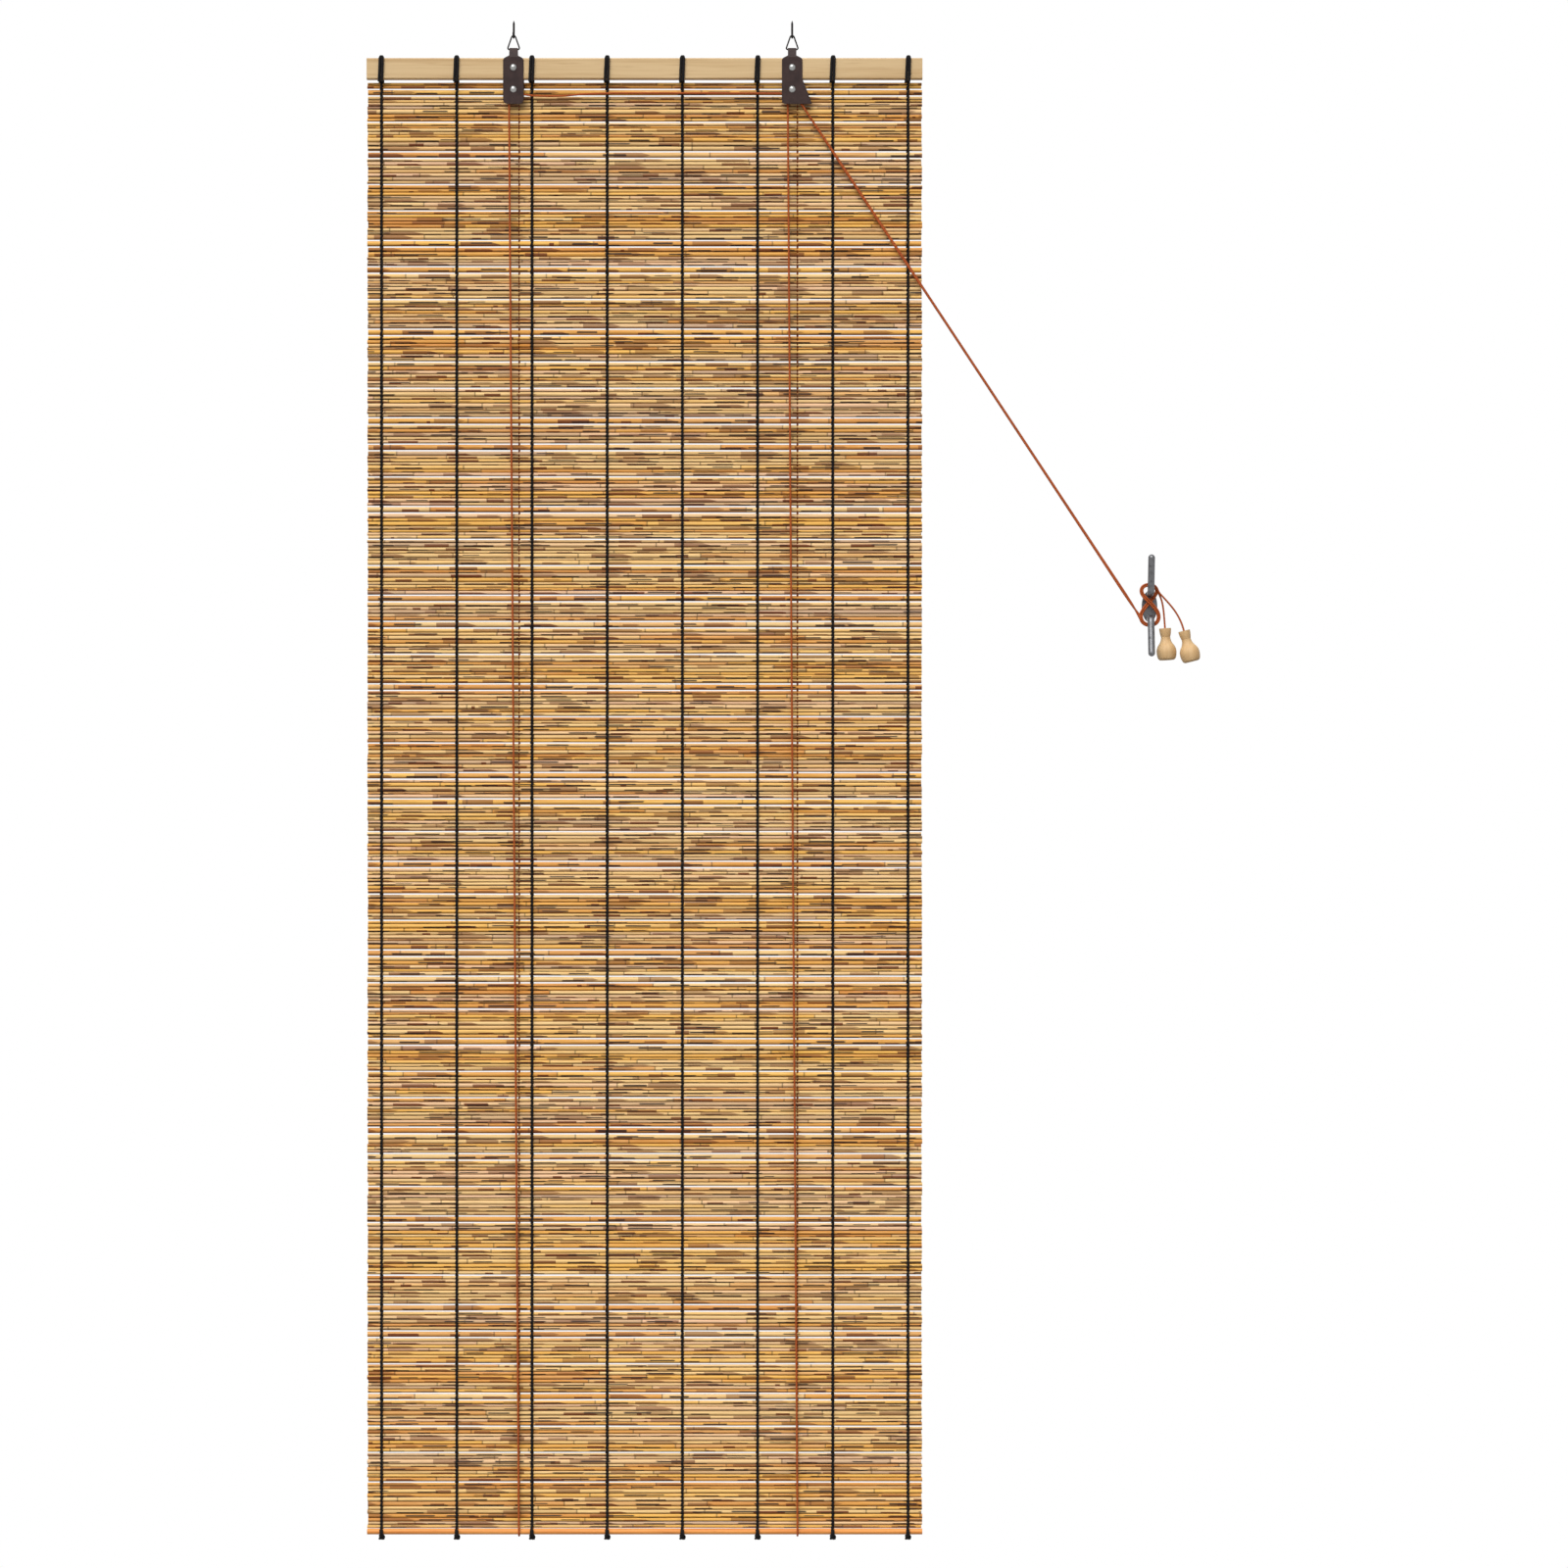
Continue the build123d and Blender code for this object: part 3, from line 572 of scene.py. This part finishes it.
def turnsRoute(side):
    passes = eightRoute + eightRoute[:lastTurn + 1]
    route = []
    for i in range(len(passes)):
        x, z = besideRoute(passes, i, 1000 * side * pullPlan["sideBySide"])
        depth = pullPlan["passDepths"][0 if i < len(eightRoute) else 1]
        if i in crossLayers:
            depth = pullPlan["crossDepths"][crossLayers[i]]
        route.append(atCleat(x, z, depth))
    return route


def knobAxis(tail, tilt):
    mouth = tail[-1]
    sway = math.radians(tilt)
    return Vector((mouth[0] / 1000, 0, mouth[1] / 1000)), Vector((math.sin(sway), 0, -math.cos(sway)))


def pullRoute(ownPulley, lane, side, tail, tilt):
    radius = pullPlan["pulleyRadius"]
    pulley = Vector((rightPulley.x, lane, rightPulley.z))
    turns = turnsRoute(side)
    middleIn = atCleat(*eightRoute[0], lane) - pulley
    slope = math.atan2(middleIn.z, middleIn.x) - math.asin(radius / middleIn.length)
    ahead = Vector((math.cos(slope), 0, math.sin(slope)))
    normal = Vector((-math.sin(slope), 0, math.cos(slope)))
    over = Vector((0, 0, radius))
    corner = radius * math.tan((math.pi / 2 - math.atan2(normal.z, normal.x)) / 2)
    points = []
    if ownPulley is leftPulley:
        first = Vector((leftPulley.x, lane, leftPulley.z))
        points += [first - Vector((radius, 0, 0)), first + Vector((-radius, 0, radius)),
                   first + Vector((radius, 0, radius))]
        points += [first + over + Vector((step, 0, dip)) for step, dip in pullPlan["sag"]]
        points.append(pulley + over - Vector((pullPlan["beforePulley"] * pullPlan["diameter"], 0, 0)))
    else:
        points += [pulley - Vector((radius, 0, 0)), pulley + Vector((-radius, 0, radius))]
    points.append(pulley + over + Vector((corner, 0, 0)))
    leave = pulley + radius * normal
    reach = (atCleat(*eightRoute[0], lane) - leave).length
    sinkFrom, sinkOver = pullPlan["sink"]
    for share, spread in pullPlan["run"]:
        spot = leave + ahead * reach * share - normal * side * spread * pullPlan["apart"]
        spot.y = lane + (turns[0].y - lane) * max(0, share - sinkFrom) / sinkOver
        points.append(spot)
    points += turns
    points += [atCleat(x, z, lane) for x, z in tail]
    mouth, down = knobAxis(tail, tilt)
    points.append(points[-1] + down * pullPlan["inKnob"])
    return [tuple(point) for point in points]


def pullCord(name, route, node):
    line = smoothLine(name + "Line", route, pullPlan["steps"])
    run = sum((b - a).length for a, b in zip(line, line[1:]))
    piece = sweepStrands(name, [line], pullPlan["diameter"], pullPlan["sides"], rustCord)
    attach(piece, "blind")
    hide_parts(node)
    print(name, "runs", round(run, 4), "m")
    return piece


farCord = pullCord(
    "pullCordFar", pullRoute(leftPulley, pullPlan["frontLane"], 1, farTail, pullPlan["tilts"]["far"]),
    "pull_cord_left")
pullCord(
    "pullCordNear", pullRoute(rightPulley, pullPlan["backLane"], -1, nearTail, pullPlan["tilts"]["near"]),
    "pull_cord_right")
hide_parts("belay_turns")


# Reeds: bands of thin reeds between see-through slits, and one thick reed between each close pair of slits
reedPlan = {
    "ridges": 220, "bands": (1, 4, 4.5, 1, 4, 4, 4.5, 1, 3), "reeds": (1, 7, 8, 1, 7, 7, 8, 1, 5),
    "firstReeds": 2, "firstTone": 0.36, "reedsPerRidge": 1.75,
    "closed": 0.045,                        # no slits just above the rod
    "thickTone": (0.35, 0.3), "slit": 0.0013,
    "overlap": 0.00012, "stagger": 0.00022,     # neighbours stand a little before and behind each other
    "depthJitter": 0.00012, "endJitter": 0.0006, "raggedShare": 0.95,
    "sizes": (0.75, 0.85, 0.9, 0.95, 1.0, 1.05, 1.15, 1.35), "flatLimit": 0.00205,
    "sides": 8, "segments": 12, "bow": 0.0005, "bowLength": 0.11, "bowSeed": 13.7, "bowLanes": (0.0, 50.0),
    "hollow": 0.55, "hollowDepth": 0.004, "endFacing": 0.9, "seed": 19,
    "dent": 0.0014, "dentFlat": 0.0006, "dentReach": 0.00085,       # worn thin where the back strands rub
}
matX = (matLow.x + matHigh.x) / 2
matHalf = (matHigh.x - matLow.x) / 2
cordRadius = pullPlan["diameter"] / 2
cordX = {"left": turnLow.x + cordRadius, "right": turnHigh.x - cordRadius}


def reedBand(dice, top, low, count):
    sizes = [dice.choice(reedPlan["sizes"]) for _ in range(count)]
    share = (top - low + reedPlan["overlap"] * (count - 1)) / sum(sizes)
    band = []
    z = top
    for i, size in enumerate(sizes):
        diameter = size * share
        side = 1 if i % 2 else -1
        band.append({
            "z": z - diameter / 2, "radius": diameter / 2, "thick": count == 1,
            "x": dice.uniform(-1, 1) * reedPlan["endJitter"],
            "y": side * reedPlan["stagger"] * (count > 1) + dice.uniform(-1, 1) * reedPlan["depthJitter"],
            "seed": dice.uniform(0, 100), "tone": dice.random()})
        z -= diameter - reedPlan["overlap"]
    return band


def reedTable():
    dice = random.Random(reedPlan["seed"])
    ridge = (matHigh.z - matLow.z) / reedPlan["ridges"]
    half = reedPlan["slit"] / 2
    slits = [matHigh.z - ridge]
    while slits[-1] - matLow.z > ridge:
        slits.append(slits[-1] - ridge * reedPlan["bands"][(len(slits) - 1) % len(reedPlan["bands"])])
    slits = [z for z in slits if z - matLow.z > reedPlan["closed"]]
    table = reedBand(dice, matHigh.z, slits[0] + half, reedPlan["firstReeds"])
    for reed in table:
        reed["tone"] = reedPlan["firstTone"]
    for i, (top, low) in enumerate(zip(slits, slits[1:])):
        table += reedBand(dice, top - half, low + half, reedPlan["reeds"][i % len(reedPlan["reeds"])])
    rest = max(1, round((slits[-1] - matLow.z) / ridge * reedPlan["reedsPerRidge"]))
    return table + reedBand(dice, slits[-1] - half, matLow.z, rest)


def reedTree():
    labels = ("Bow", "Bow length", "Hollow", "Hollow depth", "Left cord", "Right cord",
              "Dent", "Dent flat", "Dent reach", "Middle", "Ragged from")
    tree, given, result = treeWithInputs("reedRows", [
        ("Axis", "NodeSocketObject"), ("Sides", "NodeSocketInt"),
        *((label, "NodeSocketFloat") for label in labels), ("Finish", "NodeSocketMaterial")])
    asked = given.outputs

    def stored(name, kind="FLOAT"):
        return addNode(tree, "GeometryNodeInputNamedAttribute", {"Name": name}, data_type=kind).outputs[0]

    # one reed: a ring swept along the axis, hollow at both ends
    axis = addNode(tree, "GeometryNodeObjectInfo", {"Object": asked["Axis"]})
    axis = keepLay(tree, addNode(tree, "GeometryNodeMeshToCurve", {"Mesh": axis.outputs["Geometry"]}))
    section = keepTurn(tree, addNode(tree, "GeometryNodeCurvePrimitiveCircle", {
        "Resolution": asked["Sides"], "Radius": 1.0}))
    stem = addNode(tree, "GeometryNodeCurveToMesh", {
        "Curve": axis.outputs[0], "Profile Curve": section.outputs[0], "Fill Caps": True})
    facing = splitVector(tree, addNode(tree, "GeometryNodeInputNormal").outputs[0])
    isEnd = calc(tree, "GREATER_THAN", calc(tree, "ABSOLUTE", facing[0]), reedPlan["endFacing"])
    rim = addNode(tree, "GeometryNodeExtrudeMesh", {
        "Mesh": stem.outputs[0], "Selection": isEnd, "Offset Scale": 0.0}, mode="FACES")
    pith = addNode(tree, "GeometryNodeScaleElements", {
        "Geometry": rim.outputs["Mesh"], "Selection": rim.outputs["Top"], "Scale": asked["Hollow"]})
    inward = times(tree, asked["Hollow depth"], -1.0)
    hole = addNode(tree, "GeometryNodeExtrudeMesh", {
        "Mesh": pith.outputs[0], "Selection": rim.outputs["Top"], "Offset Scale": inward}, mode="FACES")
    scale = joinVector(tree, 1.0, stored("reedDepth"), stored("reedRadius"))
    rows = addNode(tree, "GeometryNodeInstanceOnPoints", {
        "Points": asked["Geometry"], "Instance": hole.outputs["Mesh"], "Scale": scale})
    real = addNode(tree, "GeometryNodeRealizeInstances", {"Geometry": rows.outputs[0]})
    # every reed bows a little, to and fro and up and down
    spot = splitVector(tree, addNode(tree, "GeometryNodeInputPosition").outputs[0])
    along = calc(tree, "DIVIDE", spot[0], asked["Bow length"])
    offsets = []
    for shift in reedPlan["bowLanes"]:
        lane = calc(tree, "MULTIPLY_ADD", stored("reedSeed"), reedPlan["bowSeed"], shift)
        swing = addNode(tree, "ShaderNodeTexNoise", {
            "Vector": joinVector(tree, along, lane), "Scale": 1.0, "Detail": 1.0}, noise_dimensions="2D")
        offsets.append(times(tree, calc(tree, "SUBTRACT", swing.outputs[0], 0.5), asked["Bow"]))
    # beside a back strand the reeds are thinner, so that the strand shows between them
    near = calc(tree, "MINIMUM", *[
        distance(tree, spot[0], asked[label]) for label in ("Left cord", "Right cord")])
    press = smoothStep(tree, near, asked["Dent reach"], asked["Dent flat"])
    downward = splitVector(tree, stored("turn", "FLOAT_VECTOR"))[1]
    push = times(tree, downward, times(tree, press, asked["Dent"]))
    # the ends alone stand in or out, so that the thin places stay before the strands
    outward = distance(tree, spot[0], asked["Middle"])
    ragged = times(tree, stored("reedShift"), calc(tree, "GREATER_THAN", outward, asked["Ragged from"]))
    bend = joinVector(tree, ragged, offsets[0], calc(tree, "ADD", offsets[1], push))
    bowed = addNode(tree, "GeometryNodeSetPosition", {"Geometry": real.outputs[0], "Offset": bend})
    smooth = addNode(tree, "GeometryNodeSetShadeSmooth", {"Geometry": bowed.outputs[0]})
    clad = addNode(tree, "GeometryNodeSetMaterial", {
        "Geometry": smooth.outputs[0], "Material": asked["Finish"]})
    tree.links.new(clad.outputs[0], result.inputs[0])
    return tree


def reedPoints(table):
    mesh = bpy.data.meshes.new("reedPoints")
    mesh.from_pydata([(matX, matY + reed["y"], reed["z"]) for reed in table], [], [])
    least, more = reedPlan["thickTone"]
    columns = {
        "reedRadius": [reed["radius"] for reed in table],
        "reedDepth": [min(reed["radius"], reedPlan["flatLimit"]) for reed in table],
        "reedSeed": [reed["seed"] for reed in table],
        "reedShift": [reed["x"] for reed in table],
        "reedTone": [least + more * reed["tone"] if reed["thick"] else reed["tone"] for reed in table],
    }
    for label, values in columns.items():
        mesh.attributes.new(label, "FLOAT", "POINT").data.foreach_set("value", values)
    return mesh


def reedAxis():
    half = matHalf - reedPlan["endJitter"]
    places = [half * (2 * i / reedPlan["segments"] - 1) for i in range(reedPlan["segments"] + 1)]
    for x in cordX.values():
        places += [x - matX + side * reach for side in (-1, 1)
                   for reach in (reedPlan["dentFlat"], reedPlan["dentReach"])]
    axis = bpy.data.objects.new("reedAxis", lineMesh("reedAxis", [[(x, 0, 0) for x in sorted(places)]]))
    bpy.context.scene.collection.objects.link(axis)
    return axis


reeds = reedTable()
axisLine = reedAxis()
reedMat = growPiece("reedMat", reedPoints(reeds), reedTree(), {
    "Axis": axisLine, "Sides": reedPlan["sides"],
    "Bow": reedPlan["bow"], "Bow length": reedPlan["bowLength"],
    "Hollow": reedPlan["hollow"], "Hollow depth": reedPlan["hollowDepth"],
    "Left cord": cordX["left"], "Right cord": cordX["right"],
    "Dent": reedPlan["dent"], "Dent flat": reedPlan["dentFlat"], "Dent reach": reedPlan["dentReach"],
    "Middle": matX, "Ragged from": reedPlan["raggedShare"] * matHalf, "Finish": reedSkin()})
bpy.data.objects.remove(axisLine)
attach(reedMat, "blind")
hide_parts("reed_mat")
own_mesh(reedMat)
print("reeds laid:", len(reeds))


# Warps: pairs of black cord that twine round every reed, hung from loops over the batten,
# wrapped round the rod and knotted under it
warpPlan = {
    "places": (-0.2936, -0.21226, -0.13091, -0.04958, 0.03176, 0.11309, 0.19444, 0.2758),
    "strand": 0.0029, "sides": 6, "lean": 0.0004, "crossing": 0.0006, "bite": 0.0005,
    "shoulder": 0.72, "shoulderRise": 0.75, "lead": 0.0012, "drop": 0.0022, "clear": 0.0001,
    "loopStrand": 0.003, "loopSides": 10, "loopSpread": 0.0016, "loopPinch": 0.6, "pinchPower": 20,
    "loopLean": 0.0005, "loopRound": 0.0022, "loopSteps": 4,
    "wrapSides": 8, "wrapSpread": 0.0006, "wrapSteps": 18,
    "wrapFrom": 150, "wrapTo": 390,         # open at the top, under the mat's edge
    "knotStrand": 0.0026, "knotSides": 8, "knotSize": 0.0026, "knotDrop": 1.1, "tail": 0.0026,
}
headGap = headLow.z - matHigh.z
wrapRadius = (rodHigh.z - rodLow.z) / 2 + warpPlan["strand"] / 2 + warpPlan["clear"]


def twinedStrand(x, start):
    half = warpPlan["strand"] / 2 - warpPlan["bite"]        # pulled tight into the reed
    shoulder = warpPlan["shoulder"]
    swing = 1 if start else -1
    route = [(x, matY - warpPlan["lead"], matHigh.z + headGap * share) for share in (1, 0.5)]
    for i, reed in enumerate(reeds):
        side = -1 if (i + start) % 2 else 1
        reach = side * (min(reed["radius"], reedPlan["flatLimit"]) + half)
        rise = reed["radius"] * shoulder * warpPlan["shoulderRise"]
        y = matY + reed["y"]
        tilt = side * warpPlan["lean"]
        route.append((x + swing * warpPlan["crossing"], y, reed["z"] + reed["radius"]))
        route.append((x - tilt, y + reach * shoulder, reed["z"] + rise))
        route.append((x, y + reach, reed["z"]))
        route.append((x + tilt, y + reach * shoulder, reed["z"] - rise))
    # then down to its wrap on the rod
    route.append((x, matY + side * wrapRadius, matLow.z - warpPlan["drop"]))
    return route


def battenLoop(x, spread):
    half = warpPlan["loopStrand"] / 2 + warpPlan["clear"]
    front, back = headLow.y - half, headHigh.y + half
    top, low = headHigh.z + half, matHigh.z + warpPlan["clear"]
    rounding = warpPlan["loopRound"]
    steps = warpPlan["loopSteps"]
    corners = ((front + rounding, top - rounding, 180, 90), (back - rounding, top - rounding, 90, 0))
    section = [(front, low)]
    for y, z, first, last in corners:
        for step in range(steps + 1):
            angle = math.radians(first + (last - first) * step / steps)
            section.append((y + rounding * math.cos(angle), z + rounding * math.sin(angle)))
    section.append((back, low))
    lean = warpPlan["loopLean"] / (top - low)
    route = []
    for y, z in section:
        pinch = spread * warpPlan["loopPinch"]              # the two strands close up over the top edge
        pinch *= ((z - low) / (top - low)) ** warpPlan["pinchPower"]
        route.append((x + spread - pinch + lean * (2 * z - top - low), y, z))
    return route


def rodWrap(x):
    first, last = warpPlan["wrapFrom"], warpPlan["wrapTo"]
    steps = warpPlan["wrapSteps"]
    angles = [math.radians(first + (last - first) * i / steps) for i in range(steps + 1)]
    return [(x, rodMid.y + wrapRadius * math.cos(a), rodMid.z + wrapRadius * math.sin(a)) for a in angles]


# a knot is a three-lobed tangle that goes round twice, all in shares of its size
knotPlan = {
    "steps": 36, "lobes": 3, "core": 0.62, "lobe": 0.38, "flat": 0.9, "rise": 0.62,
    "tailSpread": 0.8, "tailForward": 0.3, "tailBelly": 0.35,
}


def tieKnot(centre, size, tails):
    plan = knotPlan
    route = []
    for step in range(plan["steps"] + 1):
        angle = 2 * math.pi * step / plan["steps"]
        ring = size * (plan["core"] + plan["lobe"] * math.cos(plan["lobes"] * angle))
        route.append(centre + Vector((ring * math.cos(2 * angle), ring * math.sin(2 * angle) * plan["flat"],
                                      size * plan["rise"] * math.sin(plan["lobes"] * angle))))
    strands = [route]
    for side in (-1, 1):
        if tails:
            end = Vector((side * size * plan["tailSpread"], -plan["tailForward"] * size, -tails))
            belly = Vector((side * size * plan["tailBelly"], 0, 0))
            strands.append([centre, centre + end * 0.5 + belly, centre + end])
    return strands


for number, x in enumerate(warpPlan["places"]):
    warp = sweepStrands("warp%d" % (number + 1), [twinedStrand(x, 0), twinedStrand(x, 1)],
                        warpPlan["strand"], warpPlan["sides"], blackCotton)
    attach(warp, "blind")
    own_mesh(warp)
    if number == 0:
        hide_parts("warp_cords")
loopRoutes = [battenLoop(x, side * warpPlan["loopSpread"]) for x in warpPlan["places"] for side in (-1, 1)]
warpLoops = sweepStrands(
    "warpLoops", loopRoutes, warpPlan["loopStrand"], warpPlan["loopSides"], blackCotton)
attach(warpLoops, "blind")
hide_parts("warp_loops")
knotZ = rodLow.z - warpPlan["knotSize"] * warpPlan["knotDrop"]
knotRoutes = []
for x in warpPlan["places"]:
    knotRoutes += tieKnot(Vector((x, matY, knotZ)), warpPlan["knotSize"], warpPlan["tail"])
warpKnots = sweepStrands(
    "warpKnots", knotRoutes, warpPlan["knotStrand"], warpPlan["knotSides"], blackCotton)
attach(warpKnots, "rolling_rod")
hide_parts("warp_knots")
wrapRoutes = [rodWrap(x + side * warpPlan["wrapSpread"]) for x in warpPlan["places"] for side in (-1, 1)]
rodWraps = sweepStrands("rodWraps", wrapRoutes, warpPlan["strand"], warpPlan["wrapSides"], blackCotton)
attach(rodWraps, "rolling_rod")
print("warps twined:", len(warpPlan["places"]))


# Lift cords: taut strands down the front and up the back, the turns under the rod and their knots
liftPlan = {
    "sides": 8, "overlap": 0.0004, "spacing": 0.02, "turnSteps": 18,
    "knot": 0.0016, "knotBehind": 1 / 3,    # a share of the knot
}
turnRadius = (turnHigh.y - turnLow.y) / 2 - cordRadius
lanes = {"left": pullPlan["frontLane"], "right": pullPlan["backLane"]}
pulleys = {"left": leftPulley, "right": rightPulley}
anchorMid = middle("anchor_knots")
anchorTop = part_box("anchor_knots")[0].z


def straightRoute(first, last):
    count = max(2, round((last - first).length / liftPlan["spacing"]))
    return [first.lerp(last, i / count) for i in range(count + 1)]


def turnRoute(x):
    angles = [math.pi * (1 + i / liftPlan["turnSteps"]) for i in range(liftPlan["turnSteps"] + 1)]
    return [Vector((x, matY + turnRadius * math.cos(a), rodMid.z + turnRadius * math.sin(a)))
            for a in angles]


for side, x in cordX.items():
    top = Vector((pulleys[side].x - pullPlan["pulleyRadius"], lanes[side], pulleys[side].z))
    bottom = Vector((x, matY - turnRadius, rodMid.z))
    backLow = Vector((x, matY + turnRadius, rodMid.z))
    backTop = Vector((x, matY + turnRadius, anchorTop + liftPlan["overlap"]))
    for label, first, last in (("Front", top, bottom), ("Back", backTop, backLow)):
        strand = sweepStrands("lift" + label + side.capitalize(), [straightRoute(first, last)],
                              pullPlan["diameter"], liftPlan["sides"], rustCord)
        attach(strand, "blind")
        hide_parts("lift_%s_%s" % (label.lower(), side))
        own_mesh(strand)
turnRoutes = [turnRoute(x) for x in cordX.values()]
liftTurns = sweepStrands("liftTurns", turnRoutes, pullPlan["diameter"], liftPlan["sides"], rustCord)
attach(liftTurns, "lift_loop")
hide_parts("lift_loops")
anchorRoutes = []
anchorY = anchorMid.y + liftPlan["knot"] * liftPlan["knotBehind"]
for x in cordX.values():
    anchorRoutes += tieKnot(Vector((x, anchorY, anchorMid.z)), liftPlan["knot"], 0)
anchorKnots = sweepStrands("anchorKnots", anchorRoutes, pullPlan["diameter"], liftPlan["sides"], rustCord)
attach(anchorKnots, "blind")
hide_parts("anchor_knots")
knobRoutes = []
for tail, tilt, lane in ((nearTail, "near", "backLane"), (farTail, "far", "frontLane")):
    mouth, down = knobAxis(tail, pullPlan["tilts"][tilt])
    knobRoutes += tieKnot(cleatMid + mouth + down * pullPlan["knotInKnob"] + Vector((0, pullPlan[lane], 0)),
                          liftPlan["knot"], 0)
knobKnots = sweepStrands("knobKnots", knobRoutes, pullPlan["diameter"], liftPlan["sides"], rustCord)
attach(knobKnots, "blind")
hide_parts("knob_knots")
print("lift cords strung")


# Stage: pale floor that turns white away from the blind, white world, one soft lamp high behind the viewer
stagePlan = {
    "floorHeight": -2.4,                    # a room's height below the ceiling that the hooks hang from
    "floorSize": 30.0, "floorTone": srgb(236, 234, 230), "grainTone": srgb(214, 210, 204),
    "floorGrain": (40.0, 3.0), "grainShare": 0.05, "floorBounce": srgb(120, 118, 114),
    "floorRoughness": 0.8, "fade": (0.45, 0.78), "sky": (0.16, 0.55), "skyReach": (-0.6, 0.8),
    "sunHeight": 46.0, "sunSide": -20.0, "sunAngle": 50.0, "sunStrength": 3.1,
}


def seenFactor(tree):
    rays = addNode(tree, "ShaderNodeLightPath")
    seen = calc(tree, "MAXIMUM", rays.outputs["Is Camera Ray"], rays.outputs["Is Glossy Ray"])
    return calc(tree, "MAXIMUM", seen, rays.outputs["Is Transmission Ray"])


def makeFloor():
    half = stagePlan["floorSize"] / 2
    z = stagePlan["floorHeight"]
    corners = [(x * half, y * half, z) for x, y in ((-1, -1), (1, -1), (1, 1), (-1, 1))]
    mesh = bpy.data.meshes.new("floor")
    mesh.from_pydata(corners, [], [(0, 1, 2, 3)])
    floor = bpy.data.objects.new("floor", mesh)
    bpy.context.scene.collection.objects.link(floor)
    finish, tree, shader = newFinish("paleFloor")
    away = addNode(tree, "ShaderNodeVectorMath", {0: stretched(tree, (1, 1, 0))}, operation="LENGTH")
    fade = smoothStep(tree, away.outputs["Value"], *stagePlan["fade"])
    grain = times(tree, noise(tree, objectPlace(tree), *stagePlan["floorGrain"]), stagePlan["grainShare"])
    tone = mixColour(tree, grain, stagePlan["floorTone"], stagePlan["grainTone"])
    addColour(tree, shader, mixColour(tree, seenFactor(tree), stagePlan["floorBounce"], tone))
    shader.inputs["Roughness"].default_value = stagePlan["floorRoughness"]
    glow = addNode(tree, "ShaderNodeEmission", {"Color": (1, 1, 1, 1), "Strength": 1.0})
    both = addNode(tree, "ShaderNodeMixShader", {
        0: times(tree, fade, seenFactor(tree)), 1: shader.outputs[0], 2: glow.outputs[0]})
    tree.links.new(both.outputs[0], tree.nodes["Material Output"].inputs["Surface"])
    mesh.materials.append(finish)


def makeWorld():
    world = bpy.data.worlds.new("studio")
    world.use_nodes = True
    tree = world.node_tree
    back = tree.nodes["Background"]
    upward = splitVector(tree, addNode(tree, "ShaderNodeTexCoord").outputs["Generated"])[2]
    skyLow, skyTop = stagePlan["sky"]
    reachLow, reachTop = stagePlan["skyReach"]
    sky = addNode(tree, "ShaderNodeMapRange", {0: upward, 1: reachLow, 2: reachTop, 3: skyLow, 4: skyTop})
    level = addNode(tree, "ShaderNodeMix", {
        0: seenFactor(tree), 2: sky.outputs[0], 3: 1.0}, data_type="FLOAT")
    back.inputs["Color"].default_value = (1, 1, 1, 1)
    tree.links.new(level.outputs[0], back.inputs["Strength"])
    bpy.context.scene.world = world


def makeKey():
    lamp = bpy.data.lights.new("keySun", "SUN")
    lamp.energy = stagePlan["sunStrength"]
    lamp.angle = math.radians(stagePlan["sunAngle"])
    key = bpy.data.objects.new("keySun", lamp)
    key.rotation_euler = (math.radians(90 - stagePlan["sunHeight"]), 0, math.radians(stagePlan["sunSide"]))
    bpy.context.scene.collection.objects.link(key)


makeFloor()
makeWorld()
makeKey()
bpy.context.scene.view_settings.view_transform = "Standard"
print("stage lit")
